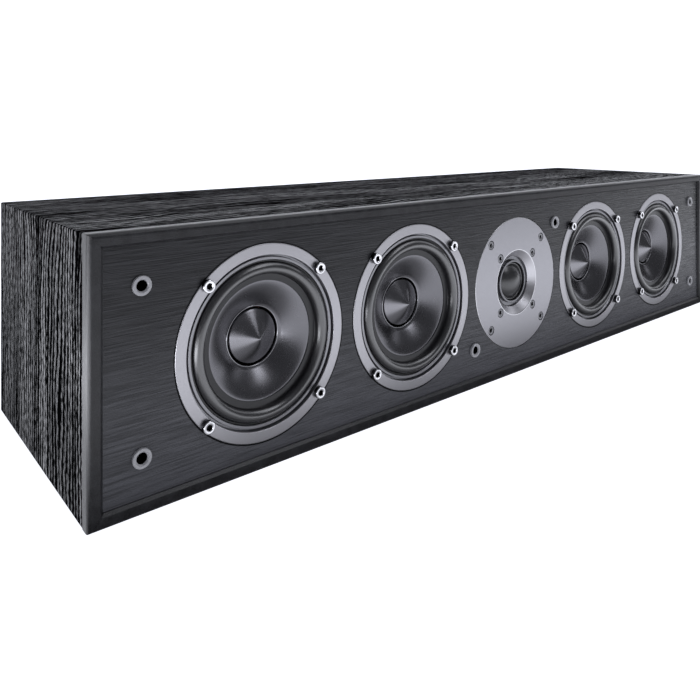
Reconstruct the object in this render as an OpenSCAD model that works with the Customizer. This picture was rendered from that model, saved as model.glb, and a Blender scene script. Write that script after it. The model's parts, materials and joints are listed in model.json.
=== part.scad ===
// Center channel speaker: four cone drivers and a dome tweeter in a low, wide cabinet.
// The front faces -Y and the cabinet stands on z = 0, centred in x and in y.
// Every depth is measured backwards from the brushed front face.

/* [Cabinet] */
// Width of the cabinet
cab_w = 667; // [650:1:760]
// Height of the cabinet
cab_h = 140; // [138:1:180]
// Depth of the cabinet behind the brushed face
cab_d = 171.4; // [165:0.2:260]
// Thickness of the folded board that makes the four walls
wall_t = 12; // [9:0.5:13]
// Rounding of the long outer edges of the wrap
edge_r = 0.8; // [0.2:0.1:2]
// Thickness of the back panel
back_t = 12; // [9:0.5:16]
// How far the back panel lies inside the ends of the walls
back_inset = 2; // [1:0.5:4]
// Thickness of the two inner braces
brace_t = 12; // [9:0.5:12.5]
// Distance of the middle of each brace from the middle of the cabinet
brace_x = 57; // [56:0.5:58]
// Radius of the window in each brace
brace_window_r = 36; // [20:1:40]
// Thickness of the wadding on the floor
wadding_t = 14; // [6:1:16]

/* [Front rim and baffle] */
// Width of the rim seen from the front
rim_w = 7.6; // [6:0.2:10]
// How far the rim stands out of the brushed face
rim_proud = 2; // [1:0.1:2.8]
// Depth at which the rim meets the grained walls
rim_back = 5.5; // [5:0.5:8]
// Roundover of the rim's outer edge
rim_round = 4.5; // [2:0.1:5.5]
// Break of the rim's inner edge
rim_break = 0.5; // [0.2:0.1:0.8]
// Thickness of the baffle board
baffle_t = 16; // [15:0.5:19]

/* [Woofers] */
// Distance of the two inner woofers from the middle
woofer_in_x = 114; // [113:0.5:116]
// Distance of the two outer woofers from the middle
woofer_out_x = 233.7; // [230:0.1:250]
// Outer radius of the trim ring
ring_r = 55.4; // [55.2:0.1:56]
// Inner radius of the trim ring
ring_in_r = 48.5; // [48.4:0.1:48.6]
// Thickness of the trim ring
ring_t = 1.8; // [1.4:0.1:2.4]
// How far the trim ring stands out of the brushed face
ring_proud = 0.3; // [0.1:0.1:0.8]
// Broken edges of the trim ring
ring_break = 0.3; // [0.1:0.05:0.4]
// Thickness of the basket's flange
flange_t = 2; // [1.5:0.1:3]
// Outer radius of the basket's flange
flange_r = 55.1; // [54.6:0.1:55.1]
// Outer radius of the basket behind its flange
basket_r = 47.4; // [47:0.1:47.8]
// Thickness of the basket's sheet
basket_t = 1.5; // [1:0.1:2]
// Depth at which the basket's arms start to run inwards
arm_top_d = 9; // [7:0.5:10]
// Depth of the basket's seat for the motor
motor_d = 38; // [36:0.5:44]
// Radius of the basket's bottom
basket_end_r = 34.5; // [33.5:0.5:36]
// Number of arms of the basket
arm_count = 6; // [4:1:8]
// Share of each arm pitch that the window takes
window_share = 0.72; // [0.5:0.02:0.8]
// Thickness of the rubber surround
rubber_t = 0.6; // [0.4:0.1:0.8]
// Radius of the middle of the surround's roll
roll_mid_r = 41; // [40.8:0.1:41.2]
// Radius of the roll's section
roll_r = 3.5; // [3.3:0.1:3.6]
// Depth of the seat that carries the surround
roll_seat_d = 2.6; // [2.4:0.1:2.8]
// Depth of the edge of the cone that carries the surround's inner flange
cone_edge_d = 4.6; // [4:0.1:6]
// Radius at which the cone's flat edge ends and its slope starts
cone_r = 33.6; // [32:0.1:35]
// Thickness of the cone
cone_t = 0.6; // [0.4:0.1:0.9]
// Depth of the cone's neck
neck_d = 14.3; // [12:0.1:16]
// Bend of the cone's section: 1 is straight
cone_bend = 1.15; // [1:0.01:1.5]
// Length of the collar that glues the cone to the coil former
collar_len = 2.4; // [1.5:0.1:4]
// Wall of that collar
collar_t = 0.7; // [0.5:0.1:1]
// Inner radius of the coil former
former_in_r = 17.35; // [17.2:0.05:17.6]
// Wall of the coil former
former_t = 0.4; // [0.3:0.05:0.5]
// Thickness of the winding
winding_t = 0.65; // [0.4:0.05:0.8]
// Height of the winding
winding_h = 11; // [9:0.5:12]
// Depth of the flat flange of the spider
spider_d = 26.5; // [25:0.5:28]
// Outer radius of the spider
spider_r = 32; // [30:0.5:32.5]
// Height of the spider's waves above and below their middle
spider_wave = 1.1; // [0.6:0.1:1.4]
// Number of the spider's waves
spider_waves = 4; // [3:1:5]
// Radius of the phase plug
plug_r = 16.5; // [15.5:0.1:16.7]
// Depth of the edge at the foot of the plug's point
plug_edge_d = 14; // [12:0.1:16]
// Height of the plug's point
plug_h = 8.1; // [6:0.1:12]
// Radius of the plug's tip
plug_tip_r = 1.2; // [0.6:0.1:2]
// Thickness of the steel plates of a woofer's motor
plate_t = 5; // [4:0.5:6]
// Radius of the steel plates
plate_r = 35; // [32:0.5:36]
// Thickness of a woofer's magnet
magnet_t = 14; // [12:0.5:18]
// Radius of a woofer's magnet
magnet_r = 38; // [36:0.5:42]
// Radius of the magnet's hole
magnet_hole_r = 21; // [20:0.5:24]
// Gap on each side of a moving coil
coil_gap = 0.4; // [0.35:0.05:0.45]
// How far a cone travels each way
woofer_travel = 3; // [1:0.5:3.5]

/* [Tweeter] */
// Radius of the tweeter's plate
tweeter_r = 50.5; // [50:0.1:50.8]
// Thickness of the tweeter's plate
tweeter_t = 4; // [3:0.5:5]
// Break of the plate's edge
tweeter_break = 0.5; // [0.2:0.1:0.8]
// Radius of the horn's mouth
mouth_r = 24.6; // [23.5:0.1:25]
// Radius of the horn's throat
throat_r = 19.6; // [19.4:0.1:20.5]
// Depth of the horn's throat
throat_d = 4.3; // [3.6:0.1:5]
// Radius of the hub behind the plate
hub_r = 34; // [33:0.5:34]
// Depth of the hub's back
hub_d = 7.3; // [7:0.1:8]
// Outer radius of the ring round the dome
dome_ring_r = 16.7; // [16.4:0.1:17.5]
// Inner radius of the ring round the dome
dome_ring_in_r = 15.05; // [15:0.05:15.3]
// Depth of the front of that ring
dome_ring_d = 3.75; // [3:0.05:4.5]
// Thickness of the foot of that ring
dome_foot_t = 1; // [0.6:0.1:1.5]
// Radius of the dome's edge
dome_r = 12.8; // [12.6:0.05:12.9]
// Height of the dome
dome_h = 5; // [3.5:0.1:6]
// Depth of the dome's edge
dome_d = 5.9; // [5.6:0.1:6.1]
// Thickness of the dome's cloth
dome_t = 0.35; // [0.25:0.05:0.5]
// Thickness of the tweeter's steel plates
tweeter_plate_t = 4; // [3:0.5:5]
// Thickness of the tweeter's magnet
tweeter_magnet_t = 10; // [8:0.5:14]
// Radius of the tweeter's magnet
tweeter_magnet_r = 36; // [34.5:0.5:38]
// How far the dome travels each way
dome_travel = 0.3; // [0.1:0.05:0.3]

/* [Screws] */
// Radius of the circle of the woofer's screws
screw_circle_r = 52.15; // [52:0.05:52.4]
// Radius of a woofer screw's shank
screw_r = 1.95; // [1.7:0.05:2.2]
// Length of a woofer screw under its head
screw_len = 15; // [10:0.5:15.5]
// Radius of a woofer screw's head
screw_head_r = 3.5; // [3.2:0.1:3.6]
// Height of a woofer screw's head
screw_head_h = 2.8; // [2:0.1:4]
// Width across the flats of its hexagon socket
screw_hex = 3; // [2:0.1:3.4]
// Radius of the circle of the tweeter's outer screws
tweeter_screw_r = 45.3; // [44.5:0.1:45.5]
// Radius of the circle of the tweeter's inner screws
tweeter_inner_r = 29.2; // [28.8:0.1:30]
// Radius of a tweeter screw's head
tweeter_head_r = 3.3; // [2.8:0.1:3.4]
// Height of a tweeter screw's head
tweeter_head_h = 2.2; // [1.6:0.1:2.4]
// Radius of a tweeter screw's shank
tweeter_shank_r = 1.6; // [1.3:0.05:1.8]
// Length of a tweeter's outer screw under its head
tweeter_screw_len = 12; // [8:0.5:12]
// Width across the flats of its hexagon socket
tweeter_hex = 2.5; // [1.5:0.1:3]
// Clearance round a screw or a plug in its hole
hole_gap = 0.1; // [0.05:0.05:0.2]
// Clearance round a driver in its recess
recess_gap = 0.3; // [0.2:0.05:0.35]

/* [Grille sockets] */
// Distance of the outer sockets from the side of the cabinet
socket_side = 26.9; // [24:0.1:34]
// Distance of the sockets from the top and from the bottom
socket_edge = 27.7; // [26:0.1:28]
// Distance of the two middle sockets from the middle of the cabinet
socket_mid_x = 51.6; // [51:0.1:52]
// Radius of a socket's collar
socket_r = 5; // [4.6:0.1:5.4]
// How far the collar stands out of the face
socket_proud = 1.5; // [0.5:0.1:2]
// Radius of a socket's body
socket_body_r = 3.9; // [3.6:0.1:4.2]
// Length of a socket's body behind the face
socket_len = 13; // [11:0.5:14]
// Radius of the hole for the grille's peg
socket_hole_r = 2.8; // [2.4:0.1:3]
// Depth of that hole from the collar's front
socket_hole_d = 12; // [9:0.5:12]

/* [Back] */
// Distance of the reflex ports from the middle
port_x = 174; // [165:1:190]
// Inner radius of a port
port_r = 22.5; // [18:0.5:24]
// Radius of the flare at a port's mouth
flare_r = 9; // [5:0.5:9]
// Wall of a port
port_wall = 2.2; // [1.5:0.1:3]
// Length of a port
port_len = 92; // [60:1:92]
// Width of a port's flange beyond its flare
port_rim = 3.5; // [2.5:0.5:5]
// Width of the terminal cup's flange
cup_w = 96; // [90:1:100]
// Height of the terminal cup's flange
cup_h = 70; // [64:1:80]
// Width of that flange round the dish
cup_rim = 8; // [7:0.5:9]
// Depth of the terminal dish
cup_deep = 22; // [21:0.5:24]
// Wall of the terminal dish
cup_wall = 2; // [1.5:0.1:2.5]
// Corner radius of the dish
cup_corner = 7; // [4:0.5:9]
// Radius of the countersunk head of a cup screw
cup_head_r = 3.5; // [2.8:0.1:3.7]
// Height of that head
cup_head_h = 1.6; // [1:0.1:1.8]

/* [Binding posts] */
// Distance between the two binding posts
post_pitch = 19; // [18:0.1:24]
// Radius of the threaded stud
stud_r = 3; // [2.5:0.1:3.2]
// Clearance between the stud and the thread in its knob
thread_gap = 0.08; // [0.05:0.01:0.1]
// Lead of the thread
thread_pitch = 1; // [0.8:0.1:1.2]
// Radius of the insulating collar
post_collar_r = 7.2; // [6.6:0.1:8]
// Thickness of the insulating collar
post_collar_t = 2.5; // [1.5:0.1:3]
// Thickness of the clamp washer
washer_t = 1.2; // [0.8:0.1:1.6]
// Radius of the knob
knob_r = 7; // [6:0.1:7.5]
// Length of the knob
knob_len = 17; // [16.5:0.1:18]
// Number of flutes round the knob
flute_count = 12; // [6:1:16]
// Depth of a flute
flute_deep = 0.8; // [0.4:0.1:1]
// Radius of the metal insert in the knob
insert_r = 4.6; // [4.2:0.1:5]
// Radius of the hole for a banana plug
banana_r = 2.05; // [2:0.01:2.2]
// Depth of that hole
banana_d = 9; // [7:0.5:9]
// Width across the flats of the nut inside
nut_af = 10; // [8:0.5:11]
// Thickness of the nut
nut_t = 5; // [3:0.5:6]

/* [Crossover] */
// Gap between the crossover's board and the back panel
board_back_gap = 19.4; // [15:0.1:25]
// Distance from the capacitors to the board's rear edge
part_edge = 10; // [8:1:12]
// Width of the crossover's board
board_w = 84; // [76:1:88]
// Length of the crossover's board
board_l = 88; // [84:1:88]
// Thickness of the board
board_t = 1.6; // [1:0.1:2.4]
// Height of the spacers under the board
spacer_h = 6; // [4:0.5:8]
// Radius of a spacer
spacer_r = 3.5; // [3:0.1:4]
// Outer radius of a crossover coil
choke_r = 19; // [14:0.5:20]
// Height of a crossover coil
choke_h = 16; // [10:1:18]
// Radius of a crossover capacitor
cap_r = 8; // [6:0.5:9]
// Length of a crossover capacitor
cap_len = 20; // [16:1:24]
// Side of a resistor's section
resistor_side = 9; // [6:0.5:10]
// Length of a resistor
resistor_len = 26; // [18:1:28]

/* [Hidden] */
$fn = 72;
WOOFERS = [1, 2, 3, 4];

// Small overlap of a cutter past the face it cuts
eps = 1;
mid_z = cab_h / 2;
inner_w = cab_w - 2 * wall_t;
inner_h = cab_h - 2 * wall_t;
// The brushed face lies here, so that the whole object is centred in y
front_reach = max(ring_proud + screw_head_h, rim_proud, socket_proud);
face_y = (front_reach - cab_d) / 2;
woofer_xs = [-woofer_out_x, -woofer_in_x, woofer_in_x, woofer_out_x];
port_xs = [-port_x, port_x];
post_xs = [-post_pitch / 2, post_pitch / 2];

// Depths and radii of a woofer that follow from the ones above
ring_back_d = ring_t - ring_proud;
flange_back_d = ring_back_d + flange_t;
roll_out_r = roll_mid_r + roll_r;
roll_hollow_r = roll_r - rubber_t;
surround_out_r = roll_out_r + 0.9;
lip_in_r = surround_out_r + hole_gap;
former_r = former_in_r + former_t;
winding_r = former_r + winding_t;
winding_mid_d = motor_d + plate_t / 2;
gap_r = winding_r + coil_gap;
pole_r = former_in_r - coil_gap;
collar_in_r = former_r + 0.05;
cone_out_r = roll_mid_r - roll_hollow_r;
basket_hole_r = 19.5;
ledge_d = spider_d + 0.5;
baffle_hole_r = basket_r + 1.2;
magnet_d = motor_d + plate_t;
yoke_d = magnet_d + magnet_t;

// Depths of the tweeter's motor
tweeter_magnet_d = hub_d + tweeter_plate_t;
tweeter_yoke_d = tweeter_magnet_d + tweeter_magnet_t;
dome_former_t = 0.3;
tweeter_winding_t = 0.35;
tweeter_pole_r = dome_r - dome_former_t - coil_gap;
tweeter_gap_r = dome_r + tweeter_winding_t + coil_gap;
dome_sphere_r = (dome_r * dome_r + dome_h * dome_h) / (2 * dome_h);
tweeter_hole_r = max(tweeter_magnet_r, hub_r) + 2;

// Depths at the back
panel_d = cab_d - back_inset;
dish_d = cab_d - cup_deep;
dish_w = cup_w - 2 * cup_rim;
dish_h = cup_h - 2 * cup_rim;
washer_d = dish_d + post_collar_t;
knob_d = washer_d + washer_t;
stud_end_d = knob_d + knob_len - banana_d - 1.5;
floor_t = 2.5;

// Places of the crossover, on the floor between the braces
board_d = cab_d - back_inset - back_t - board_back_gap - board_l;
board_free = board_w - 6 * cap_r - 2 * resistor_side;
board_z = wall_t + spacer_h;
board_top = board_z + board_t;

function socket_places() = [
    for (sx = [-1, 1], sz = [-1, 1]) [sx * (cab_w / 2 - socket_side), mid_z + sz * (mid_z - socket_edge)],
    [socket_mid_x, cab_h - socket_edge],
    [-socket_mid_x, socket_edge]];

// Helpers

// Turns a shape so that its z runs back into the cabinet, and puts it on the face
module in_face(x, z) {
    translate([x, face_y, z]) rotate([-90, 0, 0]) children();
}

module in_woofer(i) {
    in_face(woofer_xs[i - 1], mid_z) children();
}

// Extrudes a front view between two depths, centred on the cabinet's middle
module along_depth(from, to) {
    translate([0, face_y + to, mid_z]) rotate([90, 0, 0]) linear_extrude(to - from) children();
}

module ring(r_out, r_in, from, to) {
    rotate_extrude() translate([r_in, from]) square([r_out - r_in, to - from]);
}

module disc(r, from, to) {
    translate([0, 0, from]) cylinder(r = r, h = to - from);
}

module around(count, r, start = 45) {
    for (i = [0 : count - 1]) rotate([0, 0, start + i * 360 / count]) translate([r, 0, 0]) children();
}

module rounded_rect(w, h, r) {
    square([w - 2 * r, h], center = true);
    square([w, h - 2 * r], center = true);
    for (sx = [-1, 1], sz = [-1, 1]) translate([sx * (w / 2 - r), sz * (h / 2 - r)]) circle(r = r);
}

// Hexagon with a given width across its flats
module hexagon(af, from, to) {
    translate([0, 0, from]) cylinder(r = af / sqrt(3), h = to - from, $fn = 6);
}

// Cabinet

module cabinet() {
    color("#25252a")
    difference() {
        along_depth(rim_back, cab_d) rounded_rect(cab_w, cab_h, edge_r);
        along_depth(rim_back - eps, cab_d + eps) square([inner_w, inner_h], center = true);
    }
}

// Section of a rim bar: x is depth, y runs inwards from the outer edge
module rim_section() {
    difference() {
        translate([-rim_proud, 0]) square([rim_proud + rim_back, rim_w]);
        difference() {
            translate([-rim_proud - eps, -eps]) square(rim_round + eps);
            translate([rim_round - rim_proud, rim_round]) circle(r = rim_round);
        }
        translate([-rim_proud, rim_w]) rotate(45) square(rim_break * sqrt(2), center = true);
    }
}

// One bar of the rim, along x with its outer edge at z = 0, mitred at both ends
module rim_bar(len) {
    intersection() {
        rotate([90, 0, 90]) linear_extrude(len, center = true) rim_section();
        translate([0, rim_back + eps, 0]) rotate([90, 0, 0]) linear_extrude(rim_back + rim_proud + 2 * eps)
            polygon([[-len / 2, 0], [len / 2, 0], [len / 2 - rim_w, rim_w], [rim_w - len / 2, rim_w]]);
    }
}

module rim() {
    color("#2b2b30")
    translate([0, face_y, 0]) {
        rim_bar(cab_w);
        translate([0, 0, cab_h]) mirror([0, 0, 1]) rim_bar(cab_w);
        for (side = [0, 1]) mirror([side, 0, 0])
            translate([-cab_w / 2, 0, mid_z]) rotate([0, 90, 0]) rim_bar(cab_h);
    }
}

module woofer_hole() {
    disc(ring_r + recess_gap, -eps, flange_back_d);
    disc(baffle_hole_r, -eps, baffle_t + eps);
    around(4, screw_circle_r) disc(screw_r + hole_gap, 0, baffle_t + eps);
}

module tweeter_hole() {
    disc(tweeter_r + recess_gap, -eps, tweeter_t);
    disc(tweeter_hole_r, -eps, baffle_t + eps);
    around(4, tweeter_screw_r) disc(tweeter_shank_r + hole_gap, 0, baffle_t + eps);
}

module baffle() {
    color("#3d3d42")
    difference() {
        union() {
            along_depth(0, rim_back) square([cab_w - 2 * rim_w, cab_h - 2 * rim_w], center = true);
            along_depth(rim_back, baffle_t) square([inner_w, inner_h], center = true);
        }
        for (i = WOOFERS) in_woofer(i) woofer_hole();
        in_face(0, mid_z) tweeter_hole();
        for (p = socket_places()) in_face(p[0], p[1]) disc(socket_body_r + hole_gap, -eps, baffle_t + eps);
    }
}

module back_panel() {
    color("#1f1f22")
    difference() {
        along_depth(panel_d - back_t, panel_d) square([inner_w, inner_h], center = true);
        for (x = port_xs) in_face(x, mid_z) disc(port_body_r() + hole_gap, panel_d - back_t - eps, panel_d + eps);
        along_depth(panel_d - back_t - eps, panel_d + eps)
            rounded_rect(dish_w + 2 * hole_gap, dish_h + 2 * hole_gap, cup_corner + hole_gap);
        in_face(0, mid_z) cup_screw_places() disc(screw_r + hole_gap, panel_d - back_t + 1, panel_d + eps);
    }
}

module braces() {
    color("#8a6f52")
    for (side = [-1, 1]) difference() {
        translate([side * brace_x - brace_t / 2, face_y + baffle_t, wall_t])
            cube([brace_t, panel_d - back_t - baffle_t, inner_h]);
        translate([side * brace_x - brace_t / 2 - eps, face_y + (baffle_t + panel_d - back_t) / 2, mid_z])
            rotate([0, 90, 0]) cylinder(r = brace_window_r, h = brace_t + 2 * eps);
    }
}

module wadding() {
    color("#d9d9d2")
    for (side = [-1, 1]) translate([side * (cab_w / 4 + brace_x / 2 - wall_t / 2), face_y + cab_d / 2 + 22, wall_t])
        linear_extrude(wadding_t) rounded_rect(cab_w / 2 - brace_x - 60, cab_d / 2 - 26, 12);
}

// Woofers

module trim_ring(i) {
    color("#b3b3ba")
    in_woofer(i) difference() {
        rotate_extrude() polygon([
            [ring_in_r, ring_break - ring_proud], [ring_in_r + ring_break, -ring_proud],
            [ring_r - ring_break, -ring_proud], [ring_r, ring_break - ring_proud],
            [ring_r, ring_back_d], [ring_in_r, ring_back_d]]);
        around(4, screw_circle_r) disc(screw_r + 3 * hole_gap, -ring_proud - eps, ring_back_d + eps);
    }
}

// Section of the pressed basket: flange with its raised lip, arms, spider ledge and motor seat
module basket_section() {
    polygon([
        [lip_in_r, roll_seat_d], [lip_in_r, 1.2], [lip_in_r + 0.9, 0.7], [ring_in_r - 1, 0.9],
        [ring_in_r - 0.1, roll_seat_d - 0.3], [ring_in_r + 0.1, ring_back_d], [flange_r, ring_back_d],
        [flange_r, flange_back_d], [basket_r, flange_back_d], [basket_r, arm_top_d],
        [basket_end_r, ledge_d], [basket_end_r, motor_d], [basket_hole_r, motor_d],
        [basket_hole_r, motor_d - basket_t], [basket_end_r - basket_t, motor_d - basket_t],
        [basket_end_r - basket_t, ledge_d + basket_t], [spider_r - 3, ledge_d + basket_t],
        [spider_r - 3, ledge_d], [basket_end_r - basket_t, ledge_d], [basket_r - basket_t, arm_top_d],
        [basket_r - basket_t, flange_back_d], [roll_mid_r + roll_hollow_r, flange_back_d],
        [roll_mid_r + roll_hollow_r, roll_seat_d]]);
}

module basket_windows() {
    half = 180 / arm_count * window_share;
    for (k = [0 : arm_count - 1]) rotate([0, 0, k * 360 / arm_count])
        translate([0, 0, arm_top_d + 1.5]) linear_extrude(ledge_d - arm_top_d - 3)
            polygon([[spider_r - 6, -(spider_r - 6) * tan(half)], [2 * basket_r, -2 * basket_r * tan(half)],
                [2 * basket_r, 2 * basket_r * tan(half)], [spider_r - 6, (spider_r - 6) * tan(half)]]);
}

module baskets() {
    color("#55555c")
    for (i = WOOFERS) in_woofer(i) difference() {
        rotate_extrude() basket_section();
        basket_windows();
        around(4, screw_circle_r) disc(screw_r + 3 * hole_gap, 0, flange_back_d + eps);
    }
}

module surround(i) {
    color("#18181a")
    in_woofer(i) rotate_extrude() {
        difference() {
            translate([roll_mid_r, roll_seat_d]) circle(r = roll_r);
            translate([roll_mid_r, roll_seat_d]) circle(r = roll_hollow_r);
            translate([roll_mid_r - roll_r - eps, roll_seat_d]) square(2 * roll_r + 2 * eps);
        }
        translate([roll_mid_r + roll_hollow_r, roll_seat_d - rubber_t])
            square([surround_out_r - roll_mid_r - roll_hollow_r, rubber_t]);
        translate([roll_mid_r - roll_r, roll_seat_d - 0.1]) square([rubber_t, cone_edge_d - roll_seat_d + 0.1]);
        translate([cone_r, cone_edge_d - rubber_t]) square([cone_out_r - cone_r, rubber_t]);
    }
}

// Depth of the cone's front at a radius: 0 at its edge, all of the depth at its neck
function cone_front(r) = cone_edge_d + (neck_d - cone_edge_d)
    * pow(max(0, (cone_r - r) / (cone_r - collar_in_r)), cone_bend);

module cone(i) {
    steps = 8;
    radii = [for (k = [0 : steps]) cone_r + (collar_in_r - cone_r) * k / steps];
    color("#202024")
    in_woofer(i) rotate_extrude() polygon(concat(
        [[cone_out_r, cone_edge_d]],
        [for (r = radii) [r, cone_front(r)]],
        [[collar_in_r, neck_d + collar_len], [collar_in_r + collar_t, neck_d + collar_len]],
        [for (k = [steps - 1 : -1 : 0]) [radii[k], cone_front(radii[k]) + cone_t * 1.2]],
        [[cone_out_r, cone_edge_d + cone_t]]));
}

module voice_coil(i) {
    color("#b87333")
    in_woofer(i) {
        ring(former_r, former_in_r, neck_d, winding_mid_d + winding_h / 2);
        ring(winding_r, former_r, winding_mid_d - winding_h / 2, winding_mid_d + winding_h / 2);
    }
}

function spider_height(r) = spider_d - spider_wave * sin(
    360 * spider_waves * (r - former_r - 1.5) / (spider_r - 3.5 - former_r - 1.5));

module spider(i) {
    steps = 8 * spider_waves;
    inner = former_r + hole_gap;
    first = former_r + 1.5;
    last = spider_r - 3.5;
    radii = [for (k = [0 : steps]) first + (last - first) * k / steps];
    color("#c8a24a")
    in_woofer(i) rotate_extrude() polygon(concat(
        [[inner, spider_d]],
        [for (r = radii) [r, spider_height(r)]],
        [[spider_r, spider_d], [spider_r, ledge_d]],
        [for (k = [steps : -1 : 0]) [radii[k], spider_height(radii[k]) + ledge_d - spider_d]],
        [[inner, ledge_d]]));
}

// Section of the phase plug: a round tip, a straight flank and a stem that stands on the pole
module phase_plug(i) {
    slope = atan(plug_h / plug_r);
    edge = 0.6;
    color("#101012")
    in_woofer(i) rotate_extrude() polygon(concat(
        [for (a = [0 : slope / 4 : slope]) [plug_tip_r * sin(a), plug_edge_d - plug_h
            + plug_tip_r * (1 / cos(slope) - cos(a))]],
        [[plug_r - edge, plug_edge_d - edge * tan(slope)], [plug_r - edge / 4, plug_edge_d],
         [plug_r, plug_edge_d + edge], [plug_r, plug_edge_d + 5], [plug_r - 3, plug_edge_d + 8],
         [plug_r - 3, motor_d], [0, motor_d]]));
}

module top_plates() {
    color("#9a9aa0") {
        for (i = WOOFERS) in_woofer(i) ring(plate_r, gap_r, motor_d, magnet_d);
        in_face(0, mid_z) difference() {
            ring(hub_r, tweeter_gap_r, hub_d, tweeter_magnet_d);
            around(4, tweeter_inner_r) disc(tweeter_shank_r + hole_gap, hub_d - eps, tweeter_magnet_d + eps);
        }
    }
}

module magnets() {
    color("#3a3a3c") {
        for (i = WOOFERS) in_woofer(i) ring(magnet_r, magnet_hole_r, magnet_d, yoke_d);
        in_face(0, mid_z) ring(tweeter_magnet_r, dome_r + 2, tweeter_magnet_d, tweeter_yoke_d);
    }
}

module yokes() {
    color("#8e8e94") {
        for (i = WOOFERS) in_woofer(i) difference() {
            union() {
                disc(plate_r, yoke_d, yoke_d + plate_t);
                disc(pole_r, motor_d, yoke_d + plate_t / 2);
            }
            disc(4, motor_d - eps, yoke_d + plate_t + eps);
        }
        in_face(0, mid_z) union() {
            disc(hub_r, tweeter_yoke_d, tweeter_yoke_d + tweeter_plate_t);
            disc(tweeter_pole_r, hub_d, tweeter_yoke_d + tweeter_plate_t / 2);
        }
    }
}

module cap_screw(head_r, head_h, shank_r, len, hex) {
    top = 0.35;
    difference() {
        union() {
            rotate_extrude() polygon([[0, -head_h], [head_r - top, -head_h], [head_r, top - head_h],
                [head_r, 0], [0, 0]]);
            disc(shank_r, -head_h / 2, len);
        }
        hexagon(hex, -head_h - eps, -head_h / 2 + 0.2);
    }
}

module woofer_screws() {
    color("#303034")
    for (i = WOOFERS) in_woofer(i) around(4, screw_circle_r) translate([0, 0, -ring_proud])
        cap_screw(screw_head_r, screw_head_h, screw_r, screw_len, screw_hex);
}

// Tweeter

module tweeter_plate() {
    counterbore = tweeter_head_h + 0.1;
    color("#a2a2a8")
    in_face(0, mid_z) difference() {
        rotate_extrude() polygon([
            [mouth_r + 0.4, 0], [tweeter_r - tweeter_break, 0], [tweeter_r, tweeter_break],
            [tweeter_r, tweeter_t], [hub_r, tweeter_t], [hub_r, hub_d], [throat_r, hub_d],
            [throat_r, throat_d], [mouth_r, 0.3]]);
        around(4, tweeter_screw_r) {
            disc(tweeter_head_r + 2 * hole_gap, -eps, counterbore);
            disc(tweeter_shank_r + 2 * hole_gap, 0, tweeter_t + eps);
        }
        around(4, tweeter_inner_r) {
            disc(tweeter_head_r + 2 * hole_gap, -eps, counterbore);
            disc(tweeter_shank_r + 2 * hole_gap, 0, hub_d + eps);
        }
    }
}

module tweeter_ring() {
    foot_d = hub_d - dome_t - dome_foot_t;
    color("#8c8c93")
    in_face(0, mid_z) rotate_extrude() polygon([
        [dome_ring_in_r, dome_ring_d + 0.2], [dome_ring_in_r + 0.2, dome_ring_d],
        [dome_ring_r - 0.4, dome_ring_d], [dome_ring_r, dome_ring_d + 0.4], [dome_ring_r, foot_d],
        [throat_r - hole_gap, foot_d], [throat_r - hole_gap, hub_d - dome_t], [dome_ring_in_r, hub_d - dome_t]]);
}

module tweeter_dome() {
    color("#0c0c0e")
    in_face(0, mid_z) rotate_extrude() intersection() {
        translate([0, dome_d - dome_h + dome_sphere_r]) difference() {
            circle(r = dome_sphere_r);
            circle(r = dome_sphere_r - dome_t);
        }
        translate([0, dome_d - dome_h - eps]) square([dome_r, dome_h + eps]);
    }
}

module tweeter_coil() {
    winding_from = hub_d + 0.4;
    winding_to = hub_d + tweeter_plate_t - 0.4;
    color("#b87333")
    in_face(0, mid_z) {
        ring(dome_r, dome_r - dome_former_t, dome_d, winding_to);
        ring(dome_r + tweeter_winding_t, dome_r, winding_from, winding_to);
    }
}

module tweeter_surround() {
    roll_out = dome_ring_in_r - hole_gap;
    roll_in = dome_r + hole_gap;
    roll = (roll_out - roll_in) / 2;
    mid = (roll_out + roll_in) / 2;
    roll_d = dome_d + 0.4;
    color("#0e0e10")
    in_face(0, mid_z) rotate_extrude() {
        difference() {
            translate([mid, roll_d]) circle(r = roll);
            translate([mid, roll_d]) circle(r = roll - dome_t);
            translate([mid - roll - eps, roll_d]) square(2 * roll + 2 * eps);
        }
        translate([roll_out - dome_t, roll_d - 0.05]) square([dome_t, hub_d - roll_d + 0.05]);
        translate([roll_out - dome_t, hub_d - dome_t]) square([throat_r - hole_gap - roll_out + dome_t, dome_t]);
    }
}

module tweeter_screws() {
    color("#2c2c30")
    in_face(0, mid_z) {
        around(4, tweeter_screw_r) translate([0, 0, tweeter_head_h + 0.1])
            cap_screw(tweeter_head_r, tweeter_head_h, tweeter_shank_r, tweeter_screw_len, tweeter_hex);
        around(4, tweeter_inner_r) translate([0, 0, tweeter_head_h + 0.1])
            cap_screw(tweeter_head_r, tweeter_head_h, tweeter_shank_r,
                tweeter_magnet_d - tweeter_head_h - 1, tweeter_hex);
    }
}

// Grille sockets: a collar on the face and a body in the baffle, with a funnelled hole
module grille_sockets() {
    front = -socket_proud;
    color("#707076")
    for (p = socket_places()) in_face(p[0], p[1]) rotate_extrude() polygon([
        [socket_hole_r, front + 0.8], [socket_hole_r + 0.7, front], [socket_r - 0.4, front],
        [socket_r, front + 0.4], [socket_r, 0], [socket_body_r, 0], [socket_body_r, socket_len],
        [0, socket_len], [0, front + socket_hole_d], [socket_hole_r, front + socket_hole_d]]);
}

// Back

function port_body_r() = port_r + flare_r + 0.5;

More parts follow.
